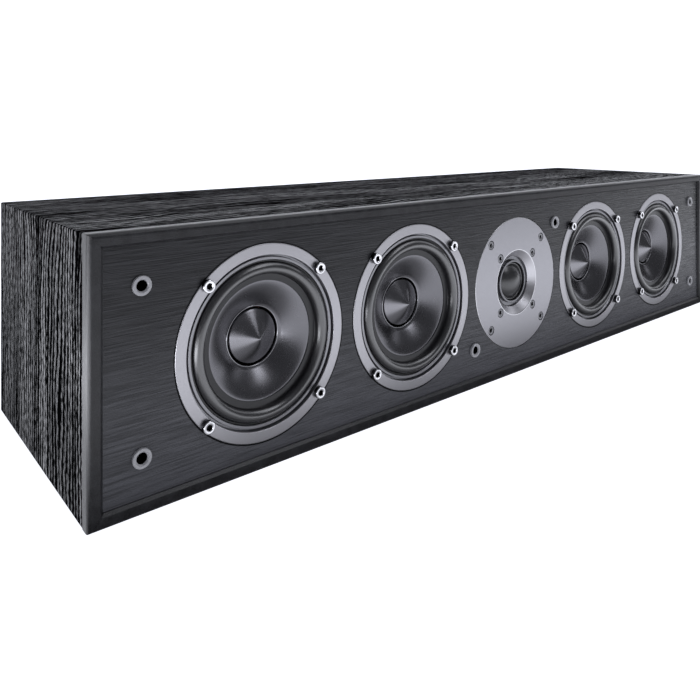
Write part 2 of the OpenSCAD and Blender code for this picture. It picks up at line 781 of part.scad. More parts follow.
module port_tubes() {
    mouth_d = cab_d;
    color("#1b1b1d")
    for (x = port_xs) in_face(x, mid_z) rotate_extrude() difference() {
        union() {
            translate([port_r, mouth_d - port_len]) square([port_wall, port_len]);
            translate([port_r, panel_d - back_t]) square([port_body_r() - port_r, back_t]);
            translate([port_r, panel_d]) square([flare_r + port_rim, back_inset]);
        }
        difference() {
            translate([port_r - eps, mouth_d - flare_r]) square([flare_r + eps, flare_r + eps]);
            translate([port_r + flare_r, mouth_d - flare_r]) circle(r = flare_r);
        }
    }
}

module cup_screw_places() {
    for (sx = [-1, 1], sz = [-1, 1])
        translate([sx * (cup_w - cup_rim) / 2, sz * (cup_h - cup_rim) / 2, 0]) children();
}

module terminal_cup() {
    color("#1d1d20")
    difference() {
        union() {
            along_depth(panel_d, cab_d) rounded_rect(cup_w, cup_h, cup_corner);
            along_depth(dish_d - floor_t, panel_d + eps / 2) rounded_rect(dish_w, dish_h, cup_corner);
        }
        along_depth(dish_d, cab_d + eps)
            rounded_rect(dish_w - 2 * cup_wall, dish_h - 2 * cup_wall, cup_corner - cup_wall);
        for (x = post_xs) in_face(x, mid_z) disc(stud_r + hole_gap, dish_d - floor_t - eps, dish_d + eps);
        in_face(0, mid_z) cup_screw_places() {
            disc(screw_r + hole_gap, panel_d - eps, cab_d + eps);
            translate([0, 0, cab_d - cup_head_h])
                cylinder(r1 = screw_r + hole_gap, r2 = cup_head_r + hole_gap, h = cup_head_h);
            disc(cup_head_r + hole_gap, cab_d, cab_d + eps);
        }
    }
}

// Countersunk screws, flush with the cup's flange
module cup_screws() {
    color("#26262a")
    in_face(0, mid_z) cup_screw_places() difference() {
        union() {
            disc(screw_r, panel_d - back_t + 2, cab_d);
            translate([0, 0, cab_d - cup_head_h]) cylinder(r1 = screw_r, r2 = cup_head_r, h = cup_head_h);
        }
        for (turn = [0, 90]) rotate([0, 0, turn])
            translate([-1.8, -0.35, cab_d - 1]) cube([3.6, 0.7, 1 + eps]);
    }
}

module post_studs() {
    color("#c9a64e")
    for (x = post_xs) in_face(x, mid_z) difference() {
        disc(stud_r, dish_d - floor_t - nut_t - 4, stud_end_d);
        translate([0, 0, washer_d + 1.6 + washer_t]) rotate([90, 0, 0])
            cylinder(r = 1.4, h = 3 * stud_r, center = true);
    }
}

module post_collars() {
    color("#3a3a3d")
    for (x = post_xs) in_face(x, mid_z) ring(post_collar_r, stud_r + hole_gap, dish_d, washer_d);
}

module post_nuts() {
    color("#c0c0c4")
    for (x = post_xs) in_face(x, mid_z) difference() {
        hexagon(nut_af, dish_d - floor_t - nut_t, dish_d - floor_t);
        disc(stud_r + hole_gap, dish_d - floor_t - nut_t - eps, dish_d - floor_t + eps);
    }
}

module clamp_washer(x) {
    color("#c9a64e")
    in_face(x, mid_z) ring(knob_r - 0.6, stud_r + thread_gap, washer_d, knob_d);
}

module knob(x, tint) {
    bevel = 0.8;
    color(tint)
    in_face(x, mid_z) difference() {
        rotate_extrude() polygon([
            [insert_r, knob_d], [knob_r - bevel, knob_d], [knob_r, knob_d + bevel],
            [knob_r, knob_d + knob_len - 2 * bevel], [knob_r - 2 * bevel, knob_d + knob_len],
            [insert_r, knob_d + knob_len]]);
        around(flute_count, knob_r + 1 - flute_deep, 0) disc(1, knob_d + 3, knob_d + knob_len + eps);
    }
}

module insert(x) {
    color("#c9a64e")
    in_face(x, mid_z) difference() {
        disc(insert_r, knob_d, knob_d + knob_len);
        disc(stud_r + thread_gap, knob_d - eps, knob_d + knob_len - banana_d - 1);
        disc(banana_r, knob_d + knob_len - banana_d, knob_d + knob_len + eps);
    }
}

// Crossover

module on_board(x, d) {
    translate([x, face_y + board_d + d, board_top]) children();
}

module board_corners() {
    for (sx = [-1, 1], sy = [-1, 1])
        translate([sx * (board_w / 2 - 6), face_y + board_d + board_l / 2 + sy * (board_l / 2 - 6), 0]) children();
}

module crossover_board() {
    color("#b08a52")
    difference() {
        translate([-board_w / 2, face_y + board_d, board_z]) cube([board_w, board_l, board_t]);
        board_corners() translate([0, 0, board_z - eps]) cylinder(r = 1.8, h = board_t + 2 * eps);
    }
}

module board_spacers() {
    color("#e0e0dc")
    board_corners() {
        translate([0, 0, wall_t]) cylinder(r = spacer_r, h = spacer_h);
        translate([0, 0, board_z]) cylinder(r = 1.7, h = board_t + 1);
        translate([0, 0, board_top]) cylinder(r = 2.4, h = 1);
    }
}

module crossover_coils() {
    color("#b5651d")
    for (side = [-1, 1]) on_board(side * (board_w / 4 + 1), choke_r + 8) difference() {
        union() {
            cylinder(r = choke_r, h = 1.5);
            cylinder(r = choke_r - 1.5, h = choke_h);
            translate([0, 0, choke_h - 1.5]) cylinder(r = choke_r, h = 1.5);
        }
        translate([0, 0, -eps]) cylinder(r = choke_r / 3, h = choke_h + 2 * eps);
    }
}

module crossover_capacitors() {
    color("#2f4f8f")
    for (k = [-1, 0, 1]) on_board(k * (2 * cap_r + board_free * 2 / 9), board_l - part_edge - cap_len / 2)
        translate([0, 0, cap_r]) rotate([90, 0, 0]) cylinder(r = cap_r, h = cap_len, center = true);
}

module crossover_resistors() {
    color("#e8e4d8")
    for (side = [-1, 1])
        on_board(side * (board_w / 2 - resistor_side / 2 - board_free / 9), board_l - resistor_len - part_edge - 4)
        translate([-resistor_side / 2, 0, 0]) cube([resistor_side, resistor_len, resistor_side]);
}

cabinet();
rim();
baffle();
back_panel();
braces();
port_tubes();
wadding();
trim_ring(1);  // trim_ring_1
trim_ring(2);  // trim_ring_2
trim_ring(3);  // trim_ring_3
trim_ring(4);  // trim_ring_4
surround(1);  // surround_1
surround(2);  // surround_2
surround(3);  // surround_3
surround(4);  // surround_4
cone(1);  // cone_1
cone(2);  // cone_2
cone(3);  // cone_3
cone(4);  // cone_4
voice_coil(1);  // voice_coil_1
voice_coil(2);  // voice_coil_2
voice_coil(3);  // voice_coil_3
voice_coil(4);  // voice_coil_4
spider(1);  // spider_1
spider(2);  // spider_2
spider(3);  // spider_3
spider(4);  // spider_4
phase_plug(1);  // phase_plug_1
phase_plug(2);  // phase_plug_2
phase_plug(3);  // phase_plug_3
phase_plug(4);  // phase_plug_4
baskets();
top_plates();
magnets();
yokes();
woofer_screws();
tweeter_plate();
tweeter_ring();
tweeter_dome();
tweeter_surround();
tweeter_coil();
tweeter_screws();
grille_sockets();
terminal_cup();
cup_screws();
post_studs();
post_collars();
post_nuts();
clamp_washer(post_xs[0]);  // washer_plus
clamp_washer(post_xs[1]);  // washer_minus
knob(post_xs[0], "#9c1f1f");  // knob_plus
knob(post_xs[1], "#1c1c1e");  // knob_minus
insert(post_xs[0]);  // insert_plus
insert(post_xs[1]);  // insert_minus
crossover_board();
crossover_coils();
crossover_capacitors();
crossover_resistors();
board_spacers();
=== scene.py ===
# %% [markdown]
# # A center channel speaker, dressed for its photograph
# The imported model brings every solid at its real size. This lesson adds what a camera sees: the grain of
# the black ash wrap, the brushed front, satin and polished metal, rubber, coated paper and gloss plastic.
# Nearly every part of a loudspeaker is round about one axis, so most pieces here are one outline turned
# about that axis, and the finishes do the rest.

import json

import bmesh
import bpy
import numpy as np
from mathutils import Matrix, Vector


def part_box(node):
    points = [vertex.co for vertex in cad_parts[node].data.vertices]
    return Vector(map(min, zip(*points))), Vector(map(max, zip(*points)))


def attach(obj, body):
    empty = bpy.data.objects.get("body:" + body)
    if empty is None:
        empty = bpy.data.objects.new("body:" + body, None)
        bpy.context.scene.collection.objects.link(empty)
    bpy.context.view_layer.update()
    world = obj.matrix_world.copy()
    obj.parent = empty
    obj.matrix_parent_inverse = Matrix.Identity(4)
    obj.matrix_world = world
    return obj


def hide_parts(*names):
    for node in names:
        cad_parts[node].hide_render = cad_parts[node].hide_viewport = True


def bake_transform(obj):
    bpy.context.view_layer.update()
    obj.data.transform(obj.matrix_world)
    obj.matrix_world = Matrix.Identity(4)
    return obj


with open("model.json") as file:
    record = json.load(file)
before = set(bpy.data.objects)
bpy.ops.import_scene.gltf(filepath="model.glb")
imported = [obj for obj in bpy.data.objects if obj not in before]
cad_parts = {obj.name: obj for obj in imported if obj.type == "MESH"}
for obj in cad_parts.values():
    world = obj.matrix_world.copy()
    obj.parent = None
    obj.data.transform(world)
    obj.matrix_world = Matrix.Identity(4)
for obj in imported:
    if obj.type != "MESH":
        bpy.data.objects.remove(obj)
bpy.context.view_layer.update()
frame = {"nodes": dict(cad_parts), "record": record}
print("nodes in the packed model:", len(frame["nodes"]))

# %% [markdown]
# ## The camera
# The photograph was taken with a camera that looks level, from the left of the cabinet and a little above
# it, so upright edges stay upright. A level camera with a shifted lens gives the same picture. Its place
# was worked out beforehand from the cabinet's corners and the round drivers.

# %% Camera
MM = 0.001
FACE_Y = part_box("baffle")[0].y
PHOTO_PX = 700
FOCAL_PX = 651.353
CENTRE_PX = (320.0, 130.667)
CAMERA_PLACE = (-0.4346, FACE_Y - 0.3056, 0.1882)
CAMERA_TURN = 0.6643

camera_data = bpy.data.cameras.new("camera")
camera_data.sensor_width = 36
camera_data.lens = camera_data.sensor_width * FOCAL_PX / PHOTO_PX
camera_data.shift_x = 0.5 - CENTRE_PX[0] / PHOTO_PX
camera_data.shift_y = CENTRE_PX[1] / PHOTO_PX - 0.5
camera_data.clip_start = 0.01
camera = bpy.data.objects.new("camera", camera_data)
camera.location = CAMERA_PLACE
camera.rotation_euler = (np.pi / 2, 0, -CAMERA_TURN)
bpy.context.scene.collection.objects.link(camera)
bpy.context.scene.camera = camera
bpy.context.scene.view_settings.view_transform = "Standard"
print("lens", round(camera_data.lens, 2), "mm")

# %% [markdown]
# ## Shader maths as plain expressions
# A finish is a tree of nodes. Written node by node it is hard to read, so a small class wraps a number
# socket and gives it the operators of arithmetic: `1 - mask * 0.5` then adds the Math nodes by itself.
# Every other node comes from one method, `node`, which sets the node's settings and then its sockets.

# %% Signals and finishes
class Signal:
    """A socket of a finish's tree. Its operators add the Math nodes that work out the expression."""

    def __init__(self, finish, socket):
        self.finish, self.socket = finish, socket

    def math(self, operation, *values):
        return self.finish.math(operation, *values)

    def __add__(self, other):
        return self.math("ADD", self, other)

    def __sub__(self, other):
        return self.math("SUBTRACT", self, other)

    def __rsub__(self, other):
        return self.math("SUBTRACT", other, self)

    def __mul__(self, other):
        return self.math("MULTIPLY", self, other)

    def __pow__(self, other):
        return self.math("POWER", self, other)

    __radd__ = __add__
    __rmul__ = __mul__


class Finish:
    """A material in the making: `node` adds nodes, the other methods name the patterns used often."""

    def __init__(self, name):
        self.name, self.material = name, bpy.data.materials.new(name)
        self.material.use_nodes = True
        self.tree = self.material.node_tree
        self.tree.nodes.clear()
        self.place = self.node("ShaderNodeTexCoord", output="Object")

    def node(self, kind, settings=None, inputs=None, output=0):
        """Add a node of this kind, set its settings, then give its sockets values or links."""
        made = self.tree.nodes.new(kind)
        for key, value in (settings or {}).items():
            setattr(made, key, value)
        for key, value in (inputs or {}).items():
            if isinstance(value, Signal):
                self.tree.links.new(value.socket, made.inputs[key])
            else:
                made.inputs[key].default_value = value
        return Signal(self, made.outputs[output])

    def math(self, operation, *values):
        return self.node("ShaderNodeMath", {"operation": operation}, dict(enumerate(values)))

    def axes(self, vector=None):
        """The three coordinates of a vector, by default the place on the object in metres."""
        split = self.node("ShaderNodeSeparateXYZ", inputs={0: vector or self.place})
        node = split.socket.node
        return [Signal(self, node.outputs[k]) for k in range(3)]

    def vector(self, x, y, z):
        return self.node("ShaderNodeCombineXYZ", inputs={0: x, 1: y, 2: z})

    def stretched(self, x, y, z):
        """The place on the object with each axis multiplied, so that a noise gets its own grain size."""
        return self.node("ShaderNodeVectorMath", {"operation": "MULTIPLY"}, {0: self.place, 1: (x, y, z)})

    def noise(self, vector, detail=2.0, roughness=0.5, distortion=0.0):
        """Cloudy noise between 0 and 1 with one cloud per unit of the vector."""
        return self.node(
            "ShaderNodeTexNoise",
            inputs={"Vector": vector, "Scale": 1.0, "Detail": detail, "Roughness": roughness,
                    "Distortion": distortion},
        )

    def between(self, value, low, high, to_low=0.0, to_high=1.0):
        """Map a value from low..high to to_low..to_high, held at both ends."""
        return self.node(
            "ShaderNodeMapRange", {"clamp": True},
            {"Value": value, "From Min": low, "From Max": high, "To Min": to_low, "To Max": to_high},
        )

    def tint(self, factor, first, second):
        """A colour that runs from the first to the second as the factor runs from 0 to 1."""
        return self.node(
            "ShaderNodeMix", {"data_type": "RGBA"},
            {0: factor, 6: (*first, 1.0), 7: (*second, 1.0)}, output=2,
        )

    def bump(self, height, depth, strength=1.0):
        """Relief from a height between 0 and 1, whose full range is this deep in metres."""
        return self.node(
            "ShaderNodeBump", inputs={"Strength": strength, "Distance": depth, "Height": height}, output="Normal"
        )

    def surface(self, **sockets):
        """Close the tree with a Principled shader and list the finish. Names such as base_color are its sockets."""
        named = {key.replace("_", " ").title().replace("Ior", "IOR"): value for key, value in sockets.items()}
        named = {k: (*v, 1.0) if isinstance(v, tuple) and len(v) == 3 else v for k, v in named.items()}
        shader = self.node("ShaderNodeBsdfPrincipled", inputs=named)
        out = self.tree.nodes.new("ShaderNodeOutputMaterial")
        self.tree.links.new(shader.socket, out.inputs["Surface"])
        FINISHES[self.name] = self.material


FINISHES = {}
print("shader helpers ready")

# %% [markdown]
# ## The ash wrap
# The cabinet is folded from board in a black vinyl wrap that is embossed like open-pored ash. The grain
# runs along the cabinet on top and upright on the sides, and in both cases it changes fastest from front to
# back. One pattern therefore does for all walls: it is stretched along x and z and tight along y, and a
# slow noise pushes it to and fro along y, which gives the flame figure.
#
# Between the pores stand low ridges. Only their crests shine, so the shine is a clear coat whose weight is
# the crest's height, broken into short dashes. Its weight also carries painted light: it fades towards the back,
# where the light falls off, and it is weaker on the top, a painted shade on a face seen nearly edge on. It all
# but ends at the folded edge at the rear. The base colour is lighter on the crests and near black in the pores:
# grain, with a painted sheen on the crests and painted shade in the pores.

# %% Ash wrap
STRIPE_PITCH = 0.0048
ash = Finish("ash_wrap")
x, y, z = ash.axes()
sway = ash.noise(ash.stretched(5, 9, 5), detail=2.0)
wobble = ash.noise(ash.vector(x * 22, y * 60, z * 22), detail=2.0)
jagged = ash.noise(ash.vector(x * 120, y * 700, z * 260), detail=1.0)
y_swayed = y + sway * 0.055 + wobble * 0.006 + jagged * 0.0016
stripe = ash.math("SINE", y_swayed * (2 * np.pi / STRIPE_PITCH)) * 0.5 + 0.5
bands = ash.noise(ash.vector(x * 5, y_swayed * 60, z * 5), detail=2.0)
threads = ash.noise(ash.vector(x * 14, y_swayed * 450, z * 14), detail=1.0)
dashes = ash.noise(ash.vector(x * 110, y * 1100, z * 280), detail=2.0, roughness=0.6)
ridge = ash.between(stripe * 0.4 + bands * 0.5 + threads * 0.9 + dashes * 0.5, 1.14, 1.25)
crest = ridge * ash.between(dashes, 0.42, 0.56, 0.15, 1.0)
cabinet_low, cabinet_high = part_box("cabinet")
figure = ash.between(bands, 0.4, 0.6, 0.55, 1.1)
# painted light: the coat's weight fades towards the back, and on the top it is cut down as painted shade
painted_light_falloff = ash.between(y, FACE_Y + 0.01, FACE_Y + 0.16, 1.2, 0.55)
painted_top_shade = ash.between(z, cabinet_high.z - 0.0005, cabinet_high.z - 0.0002, 1.0, 0.42)
rear_edge = ash.between(y, cabinet_high.y - 0.0004, cabinet_high.y - 0.0001, 1.0, 0.12)
sheen = crest * figure * painted_light_falloff * painted_top_shade * rear_edge
# the colour is grain plus painted light: painted sheen on the crests, painted shade in the pores
ash.surface(
    base_color=ash.tint(crest * rear_edge, (0.002, 0.002, 0.0023), (0.05, 0.051, 0.056)),
    roughness=ash.between(crest, 0.0, 1.0, 0.9, 0.6),
    normal=ash.bump(crest, 0.0004, 0.6),
    specular_ior_level=0.0, coat_weight=sheen, coat_roughness=0.27,
)
print("ash wrap")

# %% [markdown]
# ## Foil, brushed face and boards
# The rim is covered in the same black foil with hardly any relief. The front face is a dark grey film with
# fine lines along its length: a noise that is some forty times tighter across the lines than along them. The
# film's colour is painted lighter towards its lower edge: painted light from below. The back is plain black
# board and the braces are raw fibreboard.

# %% Rim, face and boards
LIGHT_BELOW, DARK_ABOVE = 0.012, 0.095
rim_foil = Finish("rim_satin")
speck = rim_foil.noise(rim_foil.stretched(1300, 1300, 1300), detail=2.0, roughness=0.7)
streak = rim_foil.noise(rim_foil.stretched(200, 900, 200), detail=2.0)
foil = speck * 0.6 + streak * 0.4
rim_foil.surface(
    base_color=rim_foil.tint(rim_foil.between(foil, 0.38, 0.62), (0.006, 0.006, 0.007), (0.022, 0.022, 0.025)),
    roughness=rim_foil.between(foil, 0.35, 0.65, 0.28, 0.42),
    normal=rim_foil.bump(foil, 0.0003, 0.6),
    specular_ior_level=0.42,
)

brushed = Finish("brushed_face")
hairs = brushed.noise(brushed.stretched(30, 60, 1300), detail=2.0, roughness=0.7)
strokes = brushed.noise(brushed.stretched(20, 60, 720), detail=3.0, roughness=0.65)
brush = brushed.between(hairs * 0.6 + strokes * 0.4, 0.4, 0.6)
# painted light: the film's colour turns lighter towards the bottom
painted_low_light = brushed.between(brushed.axes()[2], LIGHT_BELOW, DARK_ABOVE, 1.0, 0.0) * (brush * 0.5 + 0.5)
brushed.surface(
    base_color=brushed.tint(brush * 0.26 + painted_low_light, (0.004, 0.004, 0.0055), (0.07, 0.071, 0.08)),
    roughness=brushed.between(brush, 0.0, 1.0, 0.36, 0.22),
    normal=brushed.bump(brush, 0.00012, 0.6),
    specular_ior_level=0.37,
)

back_board = Finish("back_board")
peel = back_board.noise(back_board.stretched(700, 700, 700), detail=3.0)
back_board.surface(
    base_color=back_board.tint(peel, (0.012, 0.012, 0.013), (0.024, 0.024, 0.026)),
    roughness=back_board.between(peel, 0.3, 0.7, 0.55, 0.72),
    normal=back_board.bump(peel, 0.00015, 0.5),
)

raw_board = Finish("raw_board")
fibres = raw_board.noise(raw_board.stretched(500, 900, 900), detail=4.0, roughness=0.7)
raw_board.surface(
    base_color=raw_board.tint(fibres, (0.28, 0.19, 0.11), (0.5, 0.37, 0.24)),
    roughness=0.9,
    normal=raw_board.bump(fibres, 0.0002, 0.6),
)
print("rim, face and boards")

# %% [markdown]
# ## Metals
# The trim rings and the tweeter's plate are satin silver-grey. A metallic finish with a middling roughness
# mirrors only broad areas of light, which is what makes metal read as satin. The woofers' screws are bright
# on top and black down their side, so their colour depends on the depth: the black of the side is painted
# shade. The plate's finish depends on the distance from its axis: the horn is a little paler, and two thin
# turned edges are polished.

# %% Metals
def metal(name, colour, roughness, spread=0.06, size=900.0, relief=0.00001):
    """A metal with cloudy changes in its polish: roughness +- spread in patches 1/size metres wide."""
    made = Finish(name)
    cloud = made.noise(made.stretched(size, size, size), detail=3.0, roughness=0.6)
    darker = tuple(0.93 * c for c in colour)
    made.surface(
        base_color=made.tint(cloud, darker, colour), metallic=1.0,
        roughness=made.between(cloud, 0.3, 0.7, roughness - spread, roughness + spread),
        normal=made.bump(cloud, relief, 0.3),
    )


metal("ring_metal", (0.46, 0.455, 0.475), 0.38)
metal("bead_gloss", (0.3, 0.297, 0.31), 0.12, spread=0.02)
metal("basket_paint", (0.3, 0.3, 0.315), 0.36)
metal("dome_ring_metal", (0.19, 0.19, 0.2), 0.3)
# screw_shade is a darker copy of the screw metal: painted shade
metal("screw_shade", (0.2, 0.2, 0.21), 0.22, spread=0.04)
metal("well_shade", (0.012, 0.012, 0.013), 0.45)
metal("motor_steel", (0.5, 0.5, 0.52), 0.34, size=400.0)
metal("post_gold", (0.78, 0.56, 0.24), 0.2, spread=0.04)

screw = Finish("screw_black")
BRIGHT_TO, BLACK_FROM = FACE_Y - 0.0029, FACE_Y - 0.0025
# painted shade: below its top the screw's colour turns black
painted_side_shade = screw.between(screw.axes()[1], BRIGHT_TO, BLACK_FROM)
plating = screw.noise(screw.stretched(900, 900, 900), detail=3.0, roughness=0.6)
screw.surface(
    base_color=screw.tint(painted_side_shade, (0.8, 0.8, 0.82), (0.06, 0.06, 0.065)), metallic=1.0,
    roughness=screw.between(plating, 0.3, 0.7, 0.1, 0.16), normal=screw.bump(plating, 0.00001, 0.3),
)

HORN_EDGE_R, PLATE_EDGE_R = 0.02515, 0.05035
plate_finish = Finish("plate_metal")
x, _, z = plate_finish.axes()
plate_low, plate_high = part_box("tweeter_plate")
off_x, off_z = x - (plate_low.x + plate_high.x) / 2, z - (plate_low.z + plate_high.z) / 2
from_axis = (off_x * off_x + off_z * off_z) ** 0.5
horn = plate_finish.between(from_axis, 0.0246, 0.0252, 1.0, 0.0)
cloud = plate_finish.noise(plate_finish.stretched(900, 900, 900), detail=3.0, roughness=0.6)
from_middle = plate_finish.math("ABSOLUTE", from_axis - (HORN_EDGE_R + PLATE_EDGE_R) / 2)
from_edge = plate_finish.math("ABSOLUTE", from_middle - (PLATE_EDGE_R - HORN_EDGE_R) / 2)
polished = plate_finish.between(from_edge, 0.0001, 0.0004, 1.0, 0.0)
shade = plate_finish.tint(horn, (0.36, 0.357, 0.378), (0.56, 0.555, 0.58))
plate_finish.surface(
    base_color=plate_finish.node(
        "ShaderNodeMix", {"data_type": "RGBA"}, {0: polished, 6: shade, 7: (0.8, 0.8, 0.82, 1.0)}, output=2),
    metallic=1.0, roughness=plate_finish.between(cloud, 0.3, 0.7, 0.29, 0.38),
    normal=plate_finish.bump(cloud, 0.000008, 0.3),
)

WIRE_PITCH, WINDING_DEPTH = 0.0003, 0.0275
coil = Finish("coil_copper")
y = coil.axes()[1]
turns = coil.math("SINE", y * (2 * np.pi / WIRE_PITCH))
winding = coil.between(y, FACE_Y + WINDING_DEPTH, FACE_Y + WINDING_DEPTH + 0.0001)
coil.surface(
    base_color=coil.tint(winding, (0.02, 0.02, 0.021), (0.72, 0.34, 0.17)), metallic=winding,
    roughness=coil.between(winding, 0.0, 1.0, 0.5, 0.3), normal=coil.bump(turns * winding, 0.00002, 0.5),
)
print("metals")

# %% [markdown]
# ## Moulded plastic, rubber, paper and cloth
# Plastics differ in how rough the mould was: fine spark-eroded texture for the ports, smooth for the knobs.
# The surround is rubber, and a coat on the crest of its roll gives it a soft sheen: the coat's weight falls off
# with depth, a painted highlight on the crest and painted shade in the valleys. The cones are paper under a
# dark gloss coat and the plugs are lacquered. Both mirror the room so evenly that they are made with the
# recipe for metal, in a dark grey.

# %% Plastics and soft parts
def moulded(name, dark, light, roughness, size, relief, spread=0.05, **more):
    """A non-metal with a cloudy texture of 1/size metres and this relief in metres."""
    made = Finish(name)
    cloud = made.noise(made.stretched(size, size, size), detail=3.0, roughness=0.6)
    made.surface(
        base_color=made.tint(cloud, dark, light),
        roughness=made.between(cloud, 0.3, 0.7, roughness - spread, roughness + spread),
        normal=made.bump(cloud, relief, 0.5), **more,
    )


rubber = Finish("surround_rubber")
y = rubber.axes()[1]
pores = rubber.noise(rubber.stretched(1600, 1600, 1600), detail=3.0, roughness=0.6)
# painted highlight and shade: the coat is full on the crest and gone at the foot of the roll
painted_crest_sheen = rubber.between(y, FACE_Y - 0.0006, FACE_Y + 0.0022, 1.0, 0.0)
rubber.surface(
    base_color=rubber.tint(pores, (0.009, 0.009, 0.0105), (0.014, 0.014, 0.016)),
    roughness=rubber.between(pores, 0.3, 0.7, 0.27, 0.35), normal=rubber.bump(pores, 0.00003, 0.5),
    specular_ior_level=0.5, coat_weight=painted_crest_sheen, coat_roughness=0.26, coat_ior=1.9,
)

metal("cone_paper", (0.17, 0.168, 0.179), 0.27, spread=0.005, size=200.0, relief=0.0000005)
metal("plug_gloss", (0.26, 0.257, 0.272), 0.2, spread=0.02, size=300.0, relief=0.0000005)
moulded("port_plastic", (0.008, 0.008, 0.009), (0.016, 0.016, 0.018), 0.5, 2200.0, 0.0001)
moulded("dome_gloss", (0.008, 0.008, 0.0095), (0.014, 0.014, 0.016), 0.32, 3000.0, 0.00001,
         specular_ior_level=1.0, coat_weight=0.25, coat_roughness=0.2)
moulded("socket_plastic", (0.3, 0.3, 0.315), (0.4, 0.4, 0.42), 0.34, 1500.0, 0.00003)
moulded("collar_plastic", (0.03, 0.03, 0.033), (0.05, 0.05, 0.055), 0.45, 1500.0, 0.00003)
moulded("knob_red", (0.35, 0.012, 0.012), (0.45, 0.02, 0.018), 0.28, 800.0, 0.00001)
moulded("knob_black", (0.012, 0.012, 0.013), (0.02, 0.02, 0.021), 0.28, 800.0, 0.00001)
moulded("magnet_ferrite", (0.045, 0.045, 0.05), (0.075, 0.075, 0.08), 0.75, 1800.0, 0.0001)
moulded("board_resin", (0.24, 0.16, 0.07), (0.34, 0.23, 0.11), 0.5, 900.0, 0.00003)
moulded("cap_film", (0.03, 0.07, 0.24), (0.05, 0.1, 0.32), 0.3, 600.0, 0.00002)
moulded("resistor_ceramic", (0.7, 0.68, 0.6), (0.84, 0.82, 0.75), 0.8, 1200.0, 0.0001)
moulded("spacer_nylon", (0.72, 0.72, 0.69), (0.82, 0.82, 0.8), 0.5, 900.0, 0.00002)
moulded("wadding", (0.6, 0.6, 0.58), (0.85, 0.85, 0.82), 0.95, 350.0, 0.002)
moulded("spider_cloth", (0.4, 0.27, 0.1), (0.62, 0.45, 0.2), 0.8, 1800.0, 0.0002)
print("finishes:", len(FINISHES))

# %% [markdown]
# ## Every node takes its finish
# The record names a material slot for each node, and the finishes carry the names of those slots. Only the
# screws at the back take the tweeter screws' darker copy of the screw metal, a painted shade: bright ones
# would show as white dots.

# %% Dress the imported nodes
slot_of = {part["node"]: part["material_slot"] for part in frame["record"]["subparts"]}
for node, cad_object in frame["nodes"].items():
    cad_object.data.materials.clear()
    cad_object.data.materials.append(FINISHES[slot_of[node]])
# painted shade: the cup's screws take the darker copy of the screw metal
frame["nodes"]["cup_screws"].data.materials[0] = FINISHES["screw_shade"]
print("dressed", len(slot_of), "nodes")

# %% [markdown]
# ## Turned skins
# Drivers, rings, plugs, screws and ports are all bodies of revolution. An outline is a list of radius and
# depth behind the brushed face, in millimetres. It runs outwards across the front, then backwards, then
# inwards across the rear, so that the faces point outwards. Real edges are never sharp: each corner gets a
# small fillet, with a guard point on both sides that keeps the flats flat under smooth shading.

# %% Outlines and turning
def softened(corners, steps=4, closed=True):
    """Round the corners of an outline. Each corner is (radius, depth, fillet) in millimetres.

    A fillet f takes f times the cotangent of half the corner's angle off both sides, and a curve
    (1-s)^2 P + 2 s (1-s) C + s^2 Q joins the two cuts P and Q past the corner C."""
    corners = [(*c, 0.0)[:3] for c in corners]
    done = []
    for k, (r, d, fillet) in enumerate(corners):
        here = np.array([r, d])
        if fillet <= 0 or (not closed and k in (0, len(corners) - 1)):
            done.append(here[None])
            continue
        before = np.array(corners[k - 1][:2]) - here
        after = np.array(corners[(k + 1) % len(corners)][:2]) - here
        longest = 0.45 * min(np.linalg.norm(before), np.linalg.norm(after))
        before, after = before / np.linalg.norm(before), after / np.linalg.norm(after)
        half = 0.5 * np.arccos(np.clip(before @ after, -1.0, 1.0))
        cut = min(fillet / np.tan(half), longest)
        s = np.linspace(0.0, 1.0, steps + 1)[:, None]
        arc = (1 - s) ** 2 * (here + before * cut) + 2 * s * (1 - s) * here + s**2 * (here + after * cut)
        done.append(np.concatenate([[here + before * cut * 1.1], arc, [here + after * cut * 1.1]]))
    return np.concatenate(done)


def grid_faces(rows, columns, rows_close=False, columns_close=False):
    """The four corners of each cell of a grid whose point (i, j) has the number i * columns + j."""
    i, j = np.meshgrid(
        np.arange(rows if rows_close else rows - 1), np.arange(columns if columns_close else columns - 1),
        indexing="ij",
    )
    i, j = i.ravel(), j.ravel()
    i_next, j_next = (i + 1) % rows, (j + 1) % columns
    return np.stack([i * columns + j, i_next * columns + j, i_next * columns + j_next, i * columns + j_next], 1)


def turned(outline, centre=(0.0, 0.0), sides=160, shape=None, closed=True):
    """Turn an outline about the driver axis through centre (x, z).

    Point (i, j) is x = cx + r cos t, y = face + depth, z = cz + r sin t, with t going once round.
    shape, if given, multiplies the radius of point (i, j), which makes flutes and hexagons."""
    outline = np.asarray(outline, float) * MM
    t = np.linspace(0, 2 * np.pi, sides, endpoint=False)
    r = outline[:, :1] * (np.ones(sides) if shape is None else shape)
    points = np.stack([centre[0] + r * np.cos(t), FACE_Y + outline[:, 1:] + 0 * r, centre[1] + r * np.sin(t)], -1)
    return points.reshape(-1, 3), grid_faces(len(outline), sides, closed, True)


def joined(*skins):
    """Several skins as one: their points in a row, and their faces counted on."""
    starts = np.cumsum([0] + [len(points) for points, _ in skins[:-1]])
    return np.concatenate([p for p, _ in skins]), np.concatenate([f + s for (_, f), s in zip(skins, starts)])


